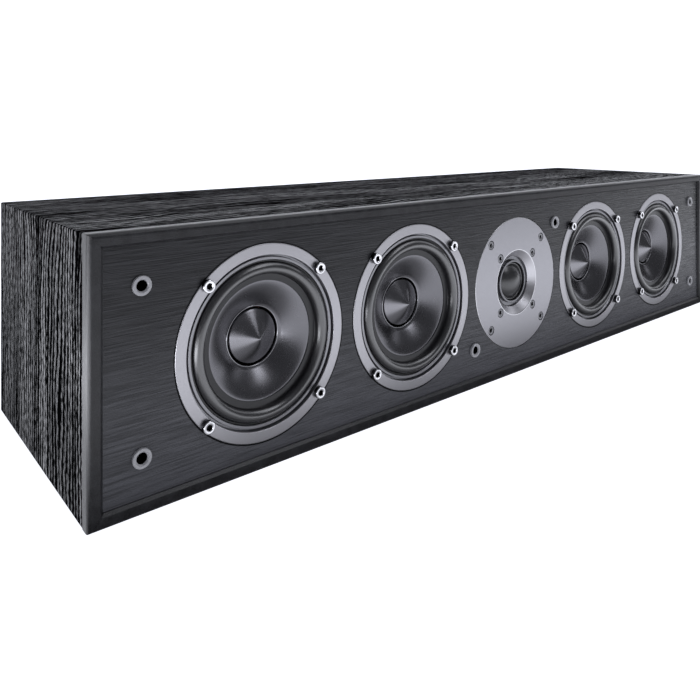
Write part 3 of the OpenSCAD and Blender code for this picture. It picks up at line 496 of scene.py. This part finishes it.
def make_piece(name, skin, slot, body="enclosure", stands_for=(), sharp=38.0, finish=None):
    """The slot is the record's. A finish of another name may be given for a part of what the slot covers."""
    points, faces = skin
    mesh = bpy.data.meshes.new(name)
    mesh.vertices.add(len(points))
    mesh.vertices.foreach_set("co", points.astype(np.float32).ravel())
    mesh.loops.add(faces.size)
    mesh.loops.foreach_set("vertex_index", faces.astype(np.int32).ravel())
    mesh.polygons.add(len(faces))
    mesh.polygons.foreach_set("loop_start", np.arange(0, faces.size, faces.shape[1], dtype=np.int32))
    mesh.update(calc_edges=True)
    build = bmesh.new()
    build.from_mesh(mesh)
    bmesh.ops.remove_doubles(build, verts=build.verts, dist=2e-7)
    bmesh.ops.dissolve_degenerate(build, edges=build.edges, dist=1e-7)
    build.to_mesh(mesh)
    build.free()
    mesh.polygons.foreach_set("use_smooth", np.ones(len(mesh.polygons), bool))
    mesh.set_sharp_from_angle(angle=np.radians(sharp))
    mesh.materials.append(FINISHES[finish or slot])
    piece = bpy.data.objects.new(name, mesh)
    bpy.context.scene.collection.objects.link(piece)
    if body:
        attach(piece, body)
    if stands_for:
        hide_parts(*stands_for)
    return piece


def axis_of(node):
    """The middle of a round node, seen from the front: (x, z) in metres."""
    low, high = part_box(node)
    return (low.x + high.x) / 2, (low.z + high.z) / 2


def around(count, radius, centre, start=45.0):
    """Places evenly round a circle of this radius in millimetres, the first at this angle in degrees."""
    t = np.radians(start) + 2 * np.pi * np.arange(count) / count
    return [(centre[0] + radius * MM * np.cos(a), centre[1] + radius * MM * np.sin(a)) for a in t]


CENTRES = {i: axis_of(f"trim_ring_{i}") for i in (1, 2, 3, 4)}
print("woofers at x =", [round(c[0] / MM, 1) for c in CENTRES.values()], "mm")

# %% [markdown]
# ## The rim
# Four bars frame the face. Their section has a large roundover outside and slants down to the face inside.
# Each bar is its section carried along the bar, and both ends are mitred: how far a point lies inside the
# frame is also how far it is cut back. The last tenths of a millimetre dip a little, which draws the faint
# line of the mitre that the photograph shows.

# %% Rim bars
RIM_W, RIM_PROUD, RIM_BACK, RIM_ROUND = 7.6, 2.0, 5.5, 4.5
rim_section = softened(
    [(0.0, -RIM_PROUD, RIM_ROUND), (RIM_W - 1.5, -RIM_PROUD, 0.3), (RIM_W, -0.5, 0.3), (RIM_W, RIM_BACK, 0.1),
     (0.0, RIM_BACK, 0.1)], steps=10,
)


def rim_bar(start, end, inwards):
    """Carry the section from start to end.

    A point that lies w inside the frame is cut back by w at both ends."""
    start, end, inwards = (np.array(v, float) for v in (start, end, inwards))
    along = (end - start) / np.linalg.norm(end - start)
    width, depth = rim_section[:, :1] * MM, rim_section[:, 1:] * MM
    middle = rim_section.mean(0) * MM
    columns = []
    for origin, way, back, dip in (
        (start, along, 0.02, 0.1), (start, along, 0.16, 0.0), (start, along, 0.6, 0.0),
        (end, -along, 0.6, 0.0), (end, -along, 0.16, 0.0), (end, -along, 0.02, 0.1),
    ):
        towards = np.array([middle[0], middle[1]]) - np.concatenate([width, depth], 1)
        towards = towards / np.linalg.norm(towards, axis=1, keepdims=True) * dip * MM
        w, d = width + towards[:, :1], depth + towards[:, 1:]
        columns.append(origin + way * (w + back * MM) + inwards * w + np.array([0, 1, 0]) * d)
    points = np.stack(columns, 1)
    return points.reshape(-1, 3), grid_faces(len(rim_section), len(columns), True, False)


left, right, low, high = cabinet_low.x, cabinet_high.x, cabinet_low.z, cabinet_high.z
rim_skin = joined(
    rim_bar((left, FACE_Y, low), (right, FACE_Y, low), (0, 0, 1)),
    rim_bar((right, FACE_Y, high), (left, FACE_Y, high), (0, 0, -1)),
    rim_bar((left, FACE_Y, high), (left, FACE_Y, low), (1, 0, 0)),
    rim_bar((right, FACE_Y, low), (right, FACE_Y, high), (-1, 0, 0)),
)
rim = make_piece("rim_bars", rim_skin, "rim_satin", stands_for=["rim"])
print("rim faces:", len(rim.data.polygons))

# %% [markdown]
# ## Woofers
# From the outside in, a woofer is a trim ring, the raised lip of its basket, the half-round rubber
# surround, the cone and a pointed plug on the magnet's pole. All of them share the woofer's axis. A thin
# dark ring round each trim ring is painted shade: it draws the shadow line round the ring.

# %% Trim rings and basket frames
RING_R, RING_IN_R = 55.4, 48.75
ring_outline = softened([
    (RING_IN_R, -0.3, 0.45), (RING_R - 0.25, -0.3, 0.5), (RING_R - 0.25, 1.5, 0.1), (RING_IN_R, 1.5, 0.1)])
lip_outline = softened([
    (45.5, 1.35, 0.1), (45.9, 0.8, 0.2), (47.35, 0.8, 0.2), (47.6, 3.0, 0.1), (48.6, 3.0, 0.05),
    (48.8, 1.5, 0), (55.1, 1.5, 0), (55.1, 3.5, 0.2), (47.4, 3.5, 0), (47.4, 9.0, 0.2), (45.9, 9.0, 0),
    (45.9, 3.5, 0), (43.9, 3.5, 0), (43.9, 2.6, 0), (45.5, 2.6, 0)], steps=3)
seat_outline = softened([
    (29.0, 27.0, 0), (33.0, 27.0, 0), (33.0, 25.6, 0.2), (35.0, 25.6, 0.2), (34.5, 38.0, 0.4), (19.5, 38.0, 0.2),
    (19.5, 36.5, 0.2), (33.0, 36.5, 0.4), (33.0, 28.5, 0), (29.0, 28.5, 0)], steps=3)


def basket_arm(centre, angle, half=0.148):
    """A slanting arm: its angle runs over +-half, its depth from the lip to the seat, and it is 1.5 mm thick."""
    across = np.radians(angle) + np.linspace(-half, half, 5)
    path = np.array([(47.4, 9.0), (46.9, 10.6), (35.4, 25.6), (34.6, 27.5), (33.1, 27.5), (33.9, 25.2), (45.4, 10.2),
                     (45.9, 9.0)]) * MM
    r, d = path[:, :1], path[:, 1:]
    points = [centre[0] + r * np.cos(across), FACE_Y + d + 0 * r * across, centre[1] + r * np.sin(across)]
    return np.stack(points, -1).reshape(-1, 3), grid_faces(len(path), 5, True, False)


ARM_ANGLES = range(30, 390, 60)
for i, centre in CENTRES.items():
    make_piece(
        f"trim_ring_turned_{i}", turned(ring_outline, centre, 192), "ring_metal", stands_for=[f"trim_ring_{i}"])
# painted shade: a thin dark ring that draws each trim ring's shadow line
shadow_line_outline = softened([
    (RING_R - 0.3, -0.05, 0), (RING_R + 0.5, -0.05, 0.03), (RING_R + 0.5, 0.3, 0), (RING_R - 0.3, 0.3, 0)])
shadow_lines = joined(*[turned(shadow_line_outline, c, 192) for c in CENTRES.values()])
make_piece("ring_shadow_lines", shadow_lines, "surround_rubber", finish="well_shade")
frames = [turned(outline, c, 160) for c in CENTRES.values() for outline in (lip_outline, seat_outline)]
frames += [basket_arm(c, a) for c in CENTRES.values() for a in ARM_ANGLES]
make_piece("basket_frames", joined(*frames), "basket_paint", stands_for=["baskets"])
print("basket frames:", len(frames), "skins")

# %% [markdown]
# The surround is a half-round roll of thin rubber. It is glued to the basket outside and to the cone
# inside, so its inner half stretches as the cone moves. It is made as two skins that meet on the crest:
# the outer one stays on the basket, and the inner one is attached to no body.

# %% Surrounds
ROLL_R, ROLL_MID, RUBBER, SEAT_D, EDGE_D = 3.5, 41.0, 0.6, 2.6, 4.6


def roll(angle_from, angle_to, radius, steps=18):
    """Part of the roll's section: r = middle + radius cos a, depth = seat - radius sin a."""
    a = np.radians(np.linspace(angle_from, angle_to, steps + 1))
    return np.stack([ROLL_MID + radius * np.cos(a), SEAT_D - radius * np.sin(a)], 1)


outer_half = np.concatenate([
    roll(90, 0, ROLL_R), [(44.75, SEAT_D - RUBBER), (45.35, SEAT_D - RUBBER), (45.4, SEAT_D - 0.5), (45.4, SEAT_D),
                          (43.9, SEAT_D)], roll(0, 90, ROLL_R - RUBBER)])
inner_half = np.concatenate([
    [(33.6, EDGE_D), (33.6, EDGE_D - 0.45), (33.7, EDGE_D - 0.58), (34.0, EDGE_D - RUBBER), (36.9, EDGE_D - RUBBER),
     (37.3, EDGE_D - 0.68), (37.48, EDGE_D - 0.95)], roll(180, 90, ROLL_R), roll(90, 180, ROLL_R - RUBBER),
    [(38.1, EDGE_D)]])
for i, centre in CENTRES.items():
    make_piece(
        f"surround_outer_{i}", turned(outer_half, centre, 160), "surround_rubber", stands_for=[f"surround_{i}"])
    inner = make_piece(
        f"surround_inner_{i}", turned(inner_half, centre, 160), "surround_rubber", body=None,
        stands_for=[f"surround_{i}"])
    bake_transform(inner)
print("surrounds: 4 x 2 skins")

# %% [markdown]
# The cone's section is slightly bent, like the bell of a horn: its depth grows with a power a little above 1
# of the way from the edge to the neck. A thin paper collar joins it to the coil's former, and a bead of
# glue at the neck draws a fine bright ring. The plug is a gloss cone with a rounded tip and a small foot,
# and stands still on the pole while the cone moves round it.

# %% Cones and plugs
CONE_R, NECK_R, NECK_D, CONE_BEND, PAPER, BEAD_R = 33.6, 17.0, 14.3, 1.3, 0.6, 0.42
reach = np.linspace(1.0, 0.0, 15)
slope = np.stack([CONE_R - (CONE_R - NECK_R) * reach, EDGE_D + (NECK_D - EDGE_D) * reach**CONE_BEND], 1)
cone_outline = np.concatenate([
    [(NECK_R, NECK_D + 2.4), (NECK_R, NECK_D + 0.5), (NECK_R + 0.1, NECK_D + 0.05)],
    [(NECK_R + 0.5, NECK_D - 0.45), (NECK_R + 0.9, NECK_D - 0.5)], slope[2:-1], [(CONE_R, EDGE_D), (38.1, EDGE_D)],
    [(38.1, EDGE_D + PAPER), (CONE_R, EDGE_D + PAPER)], slope[::-1][1:-1] + [0, PAPER * 1.2],
    [(NECK_R + 0.7, NECK_D + 1.0), (NECK_R + 0.7, NECK_D + 2.4)]])

PLUG_R, PLUG_FOOT_D, PLUG_H, TIP_R = 15.7, 14.0, 8.1, 1.2
flank = np.arctan2(PLUG_H, PLUG_R)
tip = np.linspace(0.0, flank, 10)
tip_points = np.stack([TIP_R * np.sin(tip), PLUG_FOOT_D - PLUG_H + TIP_R * (1 / np.cos(flank) - np.cos(tip))], 1)
flank_share = np.linspace(0.12, 0.94, 14)[:, None]
flank_points = tip_points[-1] * (1 - flank_share) + np.array([15.0, PLUG_FOOT_D - 0.3]) * flank_share
foot_points = softened([
    (14.5, PLUG_FOOT_D - 0.6, 0), (15.3, PLUG_FOOT_D - 0.15, 0.25), (PLUG_R, PLUG_FOOT_D + 0.6, 0.5),
    (PLUG_R, 19.0, 0.3), (13.5, 22.0, 0.3), (13.5, 38.0, 0), (0.0, 38.0, 0)], closed=False)
plug_outline = np.concatenate([tip_points, flank_points, foot_points[1:]])
a = np.linspace(0, 2 * np.pi, 13)[:-1]
bead = np.stack([NECK_R + 0.3 + BEAD_R * np.cos(a), NECK_D - 0.4 + BEAD_R * np.sin(a)], 1)[::-1]
for i, centre in CENTRES.items():
    make_piece(f"cone_turned_{i}", turned(cone_outline, centre, 192), "cone_paper", f"cone_body_{i}", [f"cone_{i}"])
    make_piece(
        f"plug_turned_{i}", turned(plug_outline, centre, 128, closed=False), "plug_gloss",
        stands_for=[f"phase_plug_{i}"])
    make_piece(f"neck_bead_{i}", turned(bead, centre, 160), "cone_paper", f"cone_body_{i}", finish="bead_gloss")
print("cones and plugs")

# %% [markdown]
# ## Socket head screws
# A cap screw is turned as well, down to the hexagon: there the radius follows the flats, which is half the
# width across flats divided by the cosine of the angle from the middle of the nearest flat. The radius of
# each row is either the circle's or the hexagon's, so the chamfer of the hole comes out by itself. Little
# light falls into the well of so small a screw: a thin, dark and matt lining stands for that shade.

# %% Screws
HEX_ROW = 0.53
SCREW_CIRCLE_R, WOOFER_HEAD_TOP, WOOFER_FLATS = 52.15, -3.1, 3.0


def hexagon(sides):
    """What turns a row at HEX_ROW times the width across flats into the hexagon: 1 / 2 / cos a / HEX_ROW."""
    t = np.linspace(0, 2 * np.pi, sides, endpoint=False)
    off_flat = (t + np.pi / 6) % (np.pi / 3) - np.pi / 6
    return 0.5 / np.cos(off_flat) / HEX_ROW


def cap_screw(centre, top, head_r, head_h, flats, foot, sides=72):
    """A cap screw's head, its top at this depth: a hexagonal well, a chamfered hole, a round rim and side.

    The third number of a row is 1 where the row is hexagonal."""
    rows = np.array([
        (0.0, top + head_h * 0.85, 0), (flats * 0.45, top + head_h * 0.82, 1), (flats * 0.52, top + head_h * 0.8, 1),
        (flats * 0.53, top + 0.36, 1), (flats * 0.56, top + 0.25, 1), (flats * 0.63, top + 0.04, 0),
        (flats * 0.66, top, 0), (head_r - 0.5, top, 0), (head_r - 0.36, top + 0.02, 0),
        (head_r - 0.16, top + 0.12, 0), (head_r - 0.04, top + 0.28, 0), (head_r, top + 0.5, 0),
        (head_r, foot - 0.3, 0), (head_r - 0.12, foot, 0), (0.0, foot, 0)])
    shape = np.ones((len(rows), sides))
    shape[rows[:, 2] > 0] = hexagon(sides)
    return turned(rows[:, :2], centre, sides, shape, closed=False)


def well_lining(centre, top, flats, deep, sides=72):
    """A thin dark lining of the hexagonal well: its floor and its flats, a hair inside the screw's own."""
    rows = np.array([
        (0.0, top + deep), (flats * 0.44, top + deep), (flats * 0.49, top + deep - 0.05), (flats * 0.51, top + 0.3),
        (flats * 0.52, top + 0.3), (flats * 0.5, top + deep), (flats * 0.44, top + deep + 0.1),
        (0.0, top + deep + 0.1)])
    return turned(rows, centre, sides, np.ones((len(rows), 1)) * hexagon(sides), closed=False)


places = [p for c in CENTRES.values() for p in around(4, SCREW_CIRCLE_R, c)]
heads = [cap_screw(p, WOOFER_HEAD_TOP, head_r=3.5, head_h=2.8, flats=WOOFER_FLATS, foot=-0.3) for p in places]
make_piece("woofer_cap_screws", joined(*heads), "screw_black", stands_for=["woofer_screws"])
wells = [well_lining(p, WOOFER_HEAD_TOP, WOOFER_FLATS, deep=2.0) for p in places]
make_piece("woofer_screw_wells", joined(*wells), "screw_black", stands_for=["woofer_screws"], finish="well_shade")
print("woofer screws:", len(heads))

# %% [markdown]
# ## Tweeter
# The tweeter's plate is a disc with a short horn. Its eight screws lie in counterbores, which are the one
# thing that can't be turned about the plate's axis, so the holes are cut out with a Boolean modifier and
# the result is kept as the mesh.

# %% Tweeter plate
TWEETER = (0.0, CENTRES[1][1])
OUTER_CIRCLE_R, INNER_CIRCLE_R, PLATE_HEAD_TOP, PLATE_FLATS = 45.3, 29.2, 0.1, 2.5
plate_outline = softened([
    (19.6, 7.3, 0), (19.6, 4.3, 0.3), (24.6, 0.25, 0.35), (25.0, 0.0, 0.25), (50.5, 0.0, 0.5), (50.5, 4.0, 0.1),
    (34.0, 4.0, 0), (34.0, 7.3, 0.2)], steps=5)
plate = make_piece(
    "tweeter_plate_turned", turned(plate_outline, TWEETER, 192), "plate_metal", stands_for=["tweeter_plate"])
places = around(4, OUTER_CIRCLE_R, TWEETER) + around(4, INNER_CIRCLE_R, TWEETER)
bore_outline = softened(
    [(0.0, -1.0, 0), (3.5, -1.0, 0), (3.5, 2.3, 0), (1.8, 2.3, 0), (1.8, 9.0, 0), (0.0, 9.0, 0)], closed=False)
bores = joined(*[turned(bore_outline, p, 48, closed=False) for p in places])
cutter = make_piece("bores", bores, "screw_black")
cut = plate.modifiers.new("bores", "BOOLEAN")
cut.operation, cut.solver, cut.object = "DIFFERENCE", "EXACT", cutter
bpy.context.view_layer.update()
plate.data = bpy.data.meshes.new_from_object(plate.evaluated_get(bpy.context.evaluated_depsgraph_get()))
plate.modifiers.clear()
bpy.data.objects.remove(cutter)
plate.data.materials.clear()
plate.data.materials.append(FINISHES["plate_metal"])
plate.data.polygons.foreach_set("use_smooth", np.ones(len(plate.data.polygons), bool))
plate.data.set_sharp_from_angle(angle=np.radians(30))
heads = [cap_screw(p, PLATE_HEAD_TOP, head_r=3.3, head_h=2.2, flats=PLATE_FLATS, foot=2.3) for p in places]
# the tweeter's screws take the darker copy of the screw metal: painted shade
make_piece("tweeter_cap_screws", joined(*heads), "screw_black", stands_for=["tweeter_screws"], finish="screw_shade")
wells = [well_lining(p, PLATE_HEAD_TOP, PLATE_FLATS, deep=1.6) for p in places]
make_piece("tweeter_screw_wells", joined(*wells), "screw_black", stands_for=["tweeter_screws"], finish="well_shade")
print("tweeter plate faces:", len(plate.data.polygons))

# %% [markdown]
# Behind the throat sits a metal ring, and in it the dome: a cap of coated cloth on a small half-roll.

# %% Dome, its roll and its ring
DOME_R, DOME_H, DOME_D, CLOTH = 12.8, 5.0, 5.9, 0.35
sphere_r = (DOME_R**2 + DOME_H**2) / (2 * DOME_H)
cap_angle = np.linspace(0.0, np.arcsin(DOME_R / sphere_r), 28)
cap = np.stack([sphere_r * np.sin(cap_angle), DOME_D - DOME_H + sphere_r * (1 - np.cos(cap_angle))], 1)
inside = cap[::-1] * [(sphere_r - CLOTH) / sphere_r, 1.0] + [0.0, CLOTH]
make_piece(
    "dome_turned", turned(np.concatenate([cap, inside]), TWEETER, 128, closed=False), "dome_gloss", "dome_body",
    ["tweeter_dome"])
DOME_ROLL_MID, DOME_ROLL_R, DOME_ROLL_D = 13.925, 1.025, 6.3
a, inner_r = np.linspace(0.0, np.pi, 13), DOME_ROLL_R - CLOTH
roll_outer = np.stack([DOME_ROLL_MID - DOME_ROLL_R * np.cos(a), DOME_ROLL_D - DOME_ROLL_R * np.sin(a)], 1)
roll_inner = np.stack([DOME_ROLL_MID + inner_r * np.cos(a), DOME_ROLL_D - inner_r * np.sin(a)], 1)
roll_outline = np.concatenate([
    roll_outer, [(14.95, 6.95), (19.5, 6.95), (19.5, 7.3), (14.6, 7.3)], roll_inner])
make_piece("dome_roll", turned(roll_outline, TWEETER, 128), "dome_gloss", stands_for=["tweeter_surround"])
dome_ring = softened([
    (15.05, 6.95, 0), (15.05, 3.75, 0.2), (16.7, 3.75, 0.4), (16.7, 5.95, 0.2), (19.5, 5.95, 0.1), (19.5, 6.95, 0)])
make_piece("dome_ring_turned", turned(dome_ring, TWEETER, 128), "dome_ring_metal", stands_for=["tweeter_ring"])
print("dome")

# %% [markdown]
# ## Grille sockets
# Six sockets take the pegs of a front grille. Each is a collar on the face with a rounded edge and a funnel
# that leads into a blind hole. The hole has the same dark lining as the screws, a painted shade inside it.

# %% Grille sockets
END_X, MIDDLE_X, LOWER_Z, UPPER_Z = 306.6 * MM, 51.6 * MM, 27.7 * MM, 112.3 * MM
socket_outline = softened([
    (0.0, 10.5, 0), (2.8, 10.5, 0.3), (2.8, -0.7, 0.4), (3.5, -1.5, 0.25), (5.0, -1.5, 0.5), (5.0, 0.0, 0),
    (3.9, 0.0, 0), (3.9, 13.0, 0.2), (0.0, 13.0, 0)], closed=False)
SOCKETS = [(x, z) for x in (-END_X, END_X) for z in (LOWER_Z, UPPER_Z)]
SOCKETS += [(MIDDLE_X, UPPER_Z), (-MIDDLE_X, LOWER_Z)]
sockets = joined(*[turned(socket_outline, p, 96, closed=False) for p in SOCKETS])
make_piece("grille_sockets_turned", sockets, "socket_plastic", stands_for=["grille_sockets"])
# painted shade: a dark lining inside each socket's hole
socket_well = [(0.0, 10.4), (2.7, 10.4), (2.7, -0.5), (2.79, -0.5), (2.79, 10.48), (0.0, 10.48)]
wells = joined(*[turned(socket_well, p, 96, closed=False) for p in SOCKETS])
make_piece("socket_wells", wells, "socket_plastic", stands_for=["grille_sockets"], finish="well_shade")
print("sockets:", len(SOCKETS))

# %% [markdown]
# ## The back
# Two flared reflex ports and the knobs of two binding posts. The knobs' flutes are another turned shape:
# the radius dips at twelve places round the knob. The dish round the posts stays as packed.

# %% Ports and knobs
BACK_D, PORT_X, PORT_R, PORT_LEN, FLARE_R, POST_X = 171.4, 174, 22.5, 92.0, 9.0, 9.5
flare = np.linspace(0.0, np.pi / 2, 14)
flare_points = np.stack([PORT_R + FLARE_R * (1 - np.cos(flare)), BACK_D - FLARE_R * (1 - np.sin(flare))], 1)
port_outline = np.concatenate([
    [(PORT_R, BACK_D - PORT_LEN), (24.7, BACK_D - PORT_LEN), (24.7, 157.4), (32.0, 157.4), (32.0, 169.4)],
    [(35.0, 169.4), (35.0, BACK_D - 0.6), (34.8, BACK_D - 0.15), (34.4, BACK_D)], flare_points[::-1]])
ports = joined(*[turned(port_outline, (sx * PORT_X * MM, TWEETER[1]), 144) for sx in (-1, 1)])
make_piece("ports_turned", ports, "port_plastic", stands_for=["port_tubes"])

KNOB_R, KNOB_D, KNOB_LEN, FLUTES = 7.0, 153.1, 17.0, 12
knob_outline = softened([
    (4.6, KNOB_D, 0), (KNOB_R - 0.8, KNOB_D, 0.2), (KNOB_R, KNOB_D + 0.8, 0.3), (KNOB_R, KNOB_D + 2.6, 0),
    (KNOB_R, KNOB_D + 3.2, 0), (KNOB_R, KNOB_D + KNOB_LEN - 1.6, 0.4), (KNOB_R - 1.6, KNOB_D + KNOB_LEN, 0.4),
    (4.6, KNOB_D + KNOB_LEN, 0.1)])
t = np.linspace(0, 2 * np.pi, 192, endpoint=False)
flute = np.clip(np.cos(FLUTES * t) - 0.1, 0, 1) ** 0.8 * 0.115
deep = np.clip((knob_outline[:, 1] - KNOB_D - 2.4) / 1.0, 0, 1) * (knob_outline[:, 0] > 5.0)
knob_shape = 1 - deep[:, None] * flute
for side, sx in (("plus", -1), ("minus", 1)):
    centre = (sx * POST_X * MM, TWEETER[1])
    slot = "knob_red" if side == "plus" else "knob_black"
    make_piece(
        f"knob_turned_{side}", turned(knob_outline, centre, 192, knob_shape), slot, f"knob_body_{side}",
        [f"knob_{side}"])
print("back pieces")

# %% [markdown]
# ## Floor
# The photograph's reflections tell how it was lit: what faces the floor is bright, what faces the walls is
# dark, and the black faces brighten towards grazing angles just as Fresnel's law says for a white table.
# So the stage is a bright table that curves up only behind the speaker, in a dim room. From other sides the
# dim room would show past the table's edge, so a second, wider sheet stands all round. Only cameras see
# that one, and it lights nothing.

# %% Table and backdrop
sweep_r = np.array([0.0, 1.2, 2.4, 3.4, 4.0, 4.35, 4.6, 4.75, 4.8, 4.8, 4.8])
sweep_z = np.array([0.0, 0.0, 0.0, 0.0, 0.05, 0.15, 0.35, 0.65, 1.05, 1.6, 2.2])
floor_finish = Finish("studio_floor")
mottle = floor_finish.noise(floor_finish.stretched(3, 3, 3), detail=2.0)
floor_finish.surface(
    base_color=floor_finish.tint(mottle, (0.5, 0.51, 0.52), (0.53, 0.54, 0.55)), roughness=0.9,
    specular_ior_level=0.0, emission_color=(0.92, 0.937, 1.0), emission_strength=1.12,
)


def studio_sweep(name, wall, wider, taller, drop):
    """The table, turned up at its edge by wall(t), 0 to 1, at the angle t. It lies lower by drop in metres."""
    t = np.linspace(0, 2 * np.pi, 96, endpoint=False)
    r, z = sweep_r[:, None] * wider, sweep_z[:, None] * taller
    sweep = np.stack([r * np.cos(t), r * np.sin(t), z * wall(t)], -1)
    mesh = bpy.data.meshes.new(name)
    mesh.from_pydata(sweep.reshape(-1, 3).tolist(), [], grid_faces(len(sweep_r), len(t), False, True).tolist())
    mesh.polygons.foreach_set("use_smooth", np.ones(len(mesh.polygons), bool))
    mesh.materials.append(floor_finish.material)
    sheet = bpy.data.objects.new(name, mesh)
    sheet.location.z = -drop
    bpy.context.scene.collection.objects.link(sheet)
    return sheet


def behind(t):
    """1 behind the speaker as the photograph's camera sees it, 0 elsewhere, with a smooth change between."""
    s = np.clip((np.cos(t - (np.pi / 2 - CAMERA_TURN)) - 0.45) / 0.2, 0.0, 1.0)
    return s**2 * (3 - 2 * s)


studio_sweep("studio_floor", behind, 1.0, 1.0, 0.0002)
backdrop = studio_sweep("studio_surround", np.ones_like, 1.1, 2.1436, 0.002)
backdrop.visible_diffuse = backdrop.visible_glossy = backdrop.visible_shadow = False
print("table and backdrop")

# %% [markdown]
# ## Cards for the mirrors
# Three glowing cards lie on the table, seen by mirrors alone, and paint what the metal mirrors. The near one
# is dark close to the speaker and bright further out, a painted shadow of the speaker on the table: it keeps the
# lower screws and the upper halves of the cones dark. The far one is a painted shade that dims the table beyond
# it, and the left one is a painted pool of light that puts the bright streak on the rim's left corner and on
# the left flanks of the drivers.

# %% Cards
COOL = (0.92, 0.935, 1.0)


def mirror_card(name, x_span, y_span, axis, ramp, dark, light, step=None):
    """A card on the table that only mirrors see. Along axis 0 or 1 it runs from dark to light over the ramp.

    A step (from, to, share) is a first, lower ramp: the glow is step * share + ramp * (1 - share)."""
    made = Finish(name)
    weave = made.noise(made.stretched(900, 900, 900)) * 0.0002
    along = made.axes()[axis] + weave
    glow = made.between(along, *ramp)
    glow = glow * glow * (3.0 - 2.0 * glow)
    if step:
        glow = made.between(along, *step[:2]) * step[2] + glow * (1.0 - step[2])
    made.surface(
        base_color=(0.03, 0.03, 0.032), roughness=0.95, specular_ior_level=0.0,
        emission_color=made.tint(glow, tuple(dark * c for c in COOL), tuple(light * c for c in COOL)),
        emission_strength=1.0,
    )
    mesh = bpy.data.meshes.new(name)
    (x0, x1), (y0, y1) = x_span, y_span
    mesh.from_pydata([(x0, y0, 0), (x1, y0, 0), (x1, y1, 0), (x0, y1, 0)], [], [(0, 1, 2, 3)])
    mesh.materials.append(made.material)
    card = bpy.data.objects.new(name, mesh)
    card.location.z = 0.0004
    card.visible_camera = card.visible_diffuse = card.visible_shadow = False
    bpy.context.scene.collection.objects.link(card)


# glowing cards: a painted shadow near the speaker, a painted shade far out, a painted pool of light at the left
mirror_card(
    "near_shadow_card", (-0.36, 1.4), (FACE_Y - 0.1, FACE_Y - 0.001), 1, (FACE_Y - 0.045, FACE_Y - 0.085), 0.08, 1.25,
    step=(FACE_Y - 0.01, FACE_Y - 0.03, 0.25))
mirror_card("far_shade_card", (-3.0, 3.0), (FACE_Y - 3.0, FACE_Y - 0.35), 1, (FACE_Y - 0.8, FACE_Y - 0.36), 0.65, 1.25)
mirror_card("left_light_card", (-1.4, -0.4), (FACE_Y - 0.34, FACE_Y + 0.25), 0, (-0.38, -0.47), 1.25, 7.5)
print("three cards")

# %% [markdown]
# ## Lights
# Four soft boxes: a large one above and behind, one at the ceiling in front for the cones, a small one close
# in front, which puts a spot on the dome and on the tweeter's plate, and one at the right. All are slightly
# cool, like the table. The room itself is dim.

# %% Lights
def soft_box(name, place, target, size, radiance):
    """A rectangular area light at a place, turned towards a target. Its power is pi times area times radiance."""
    data = bpy.data.lights.new(name, "AREA")
    data.shape, data.size, data.size_y = "RECTANGLE", size[0], size[1]
    data.energy, data.color = np.pi * size[0] * size[1] * radiance, COOL
    box = bpy.data.objects.new(name, data)
    box.location = place
    way = np.array(target) - np.array(place)
    box.rotation_euler = (np.arctan2(np.hypot(way[0], way[1]), -way[2]), 0, np.arctan2(-way[0], way[1]))
    bpy.context.scene.collection.objects.link(box)


soft_box("top_box", (0.7, 0.75, 1.8), (0.4, 0.3, 0.0), (2.4, 1.5), 1.2)
soft_box("ceiling_box", (0.75, -0.7, 1.65), (0.0, 0.0, 0.07), (1.3, 0.8), 2.0)
soft_box("front_box", (0.09, -0.62, 0.6), (0.0, 0.0, 0.07), (0.26, 0.16), 3.2)
soft_box("right_box", (1.9, -0.3, 1.1), (0.2, -0.1, 0.1), (1.2, 1.2), 0.9)
world = bpy.data.worlds.new("studio")
world.use_nodes = True
world.node_tree.nodes["Background"].inputs["Color"].default_value = (0.9, 0.92, 1.0, 1.0)
world.node_tree.nodes["Background"].inputs["Strength"].default_value = 0.12
bpy.context.scene.world = world
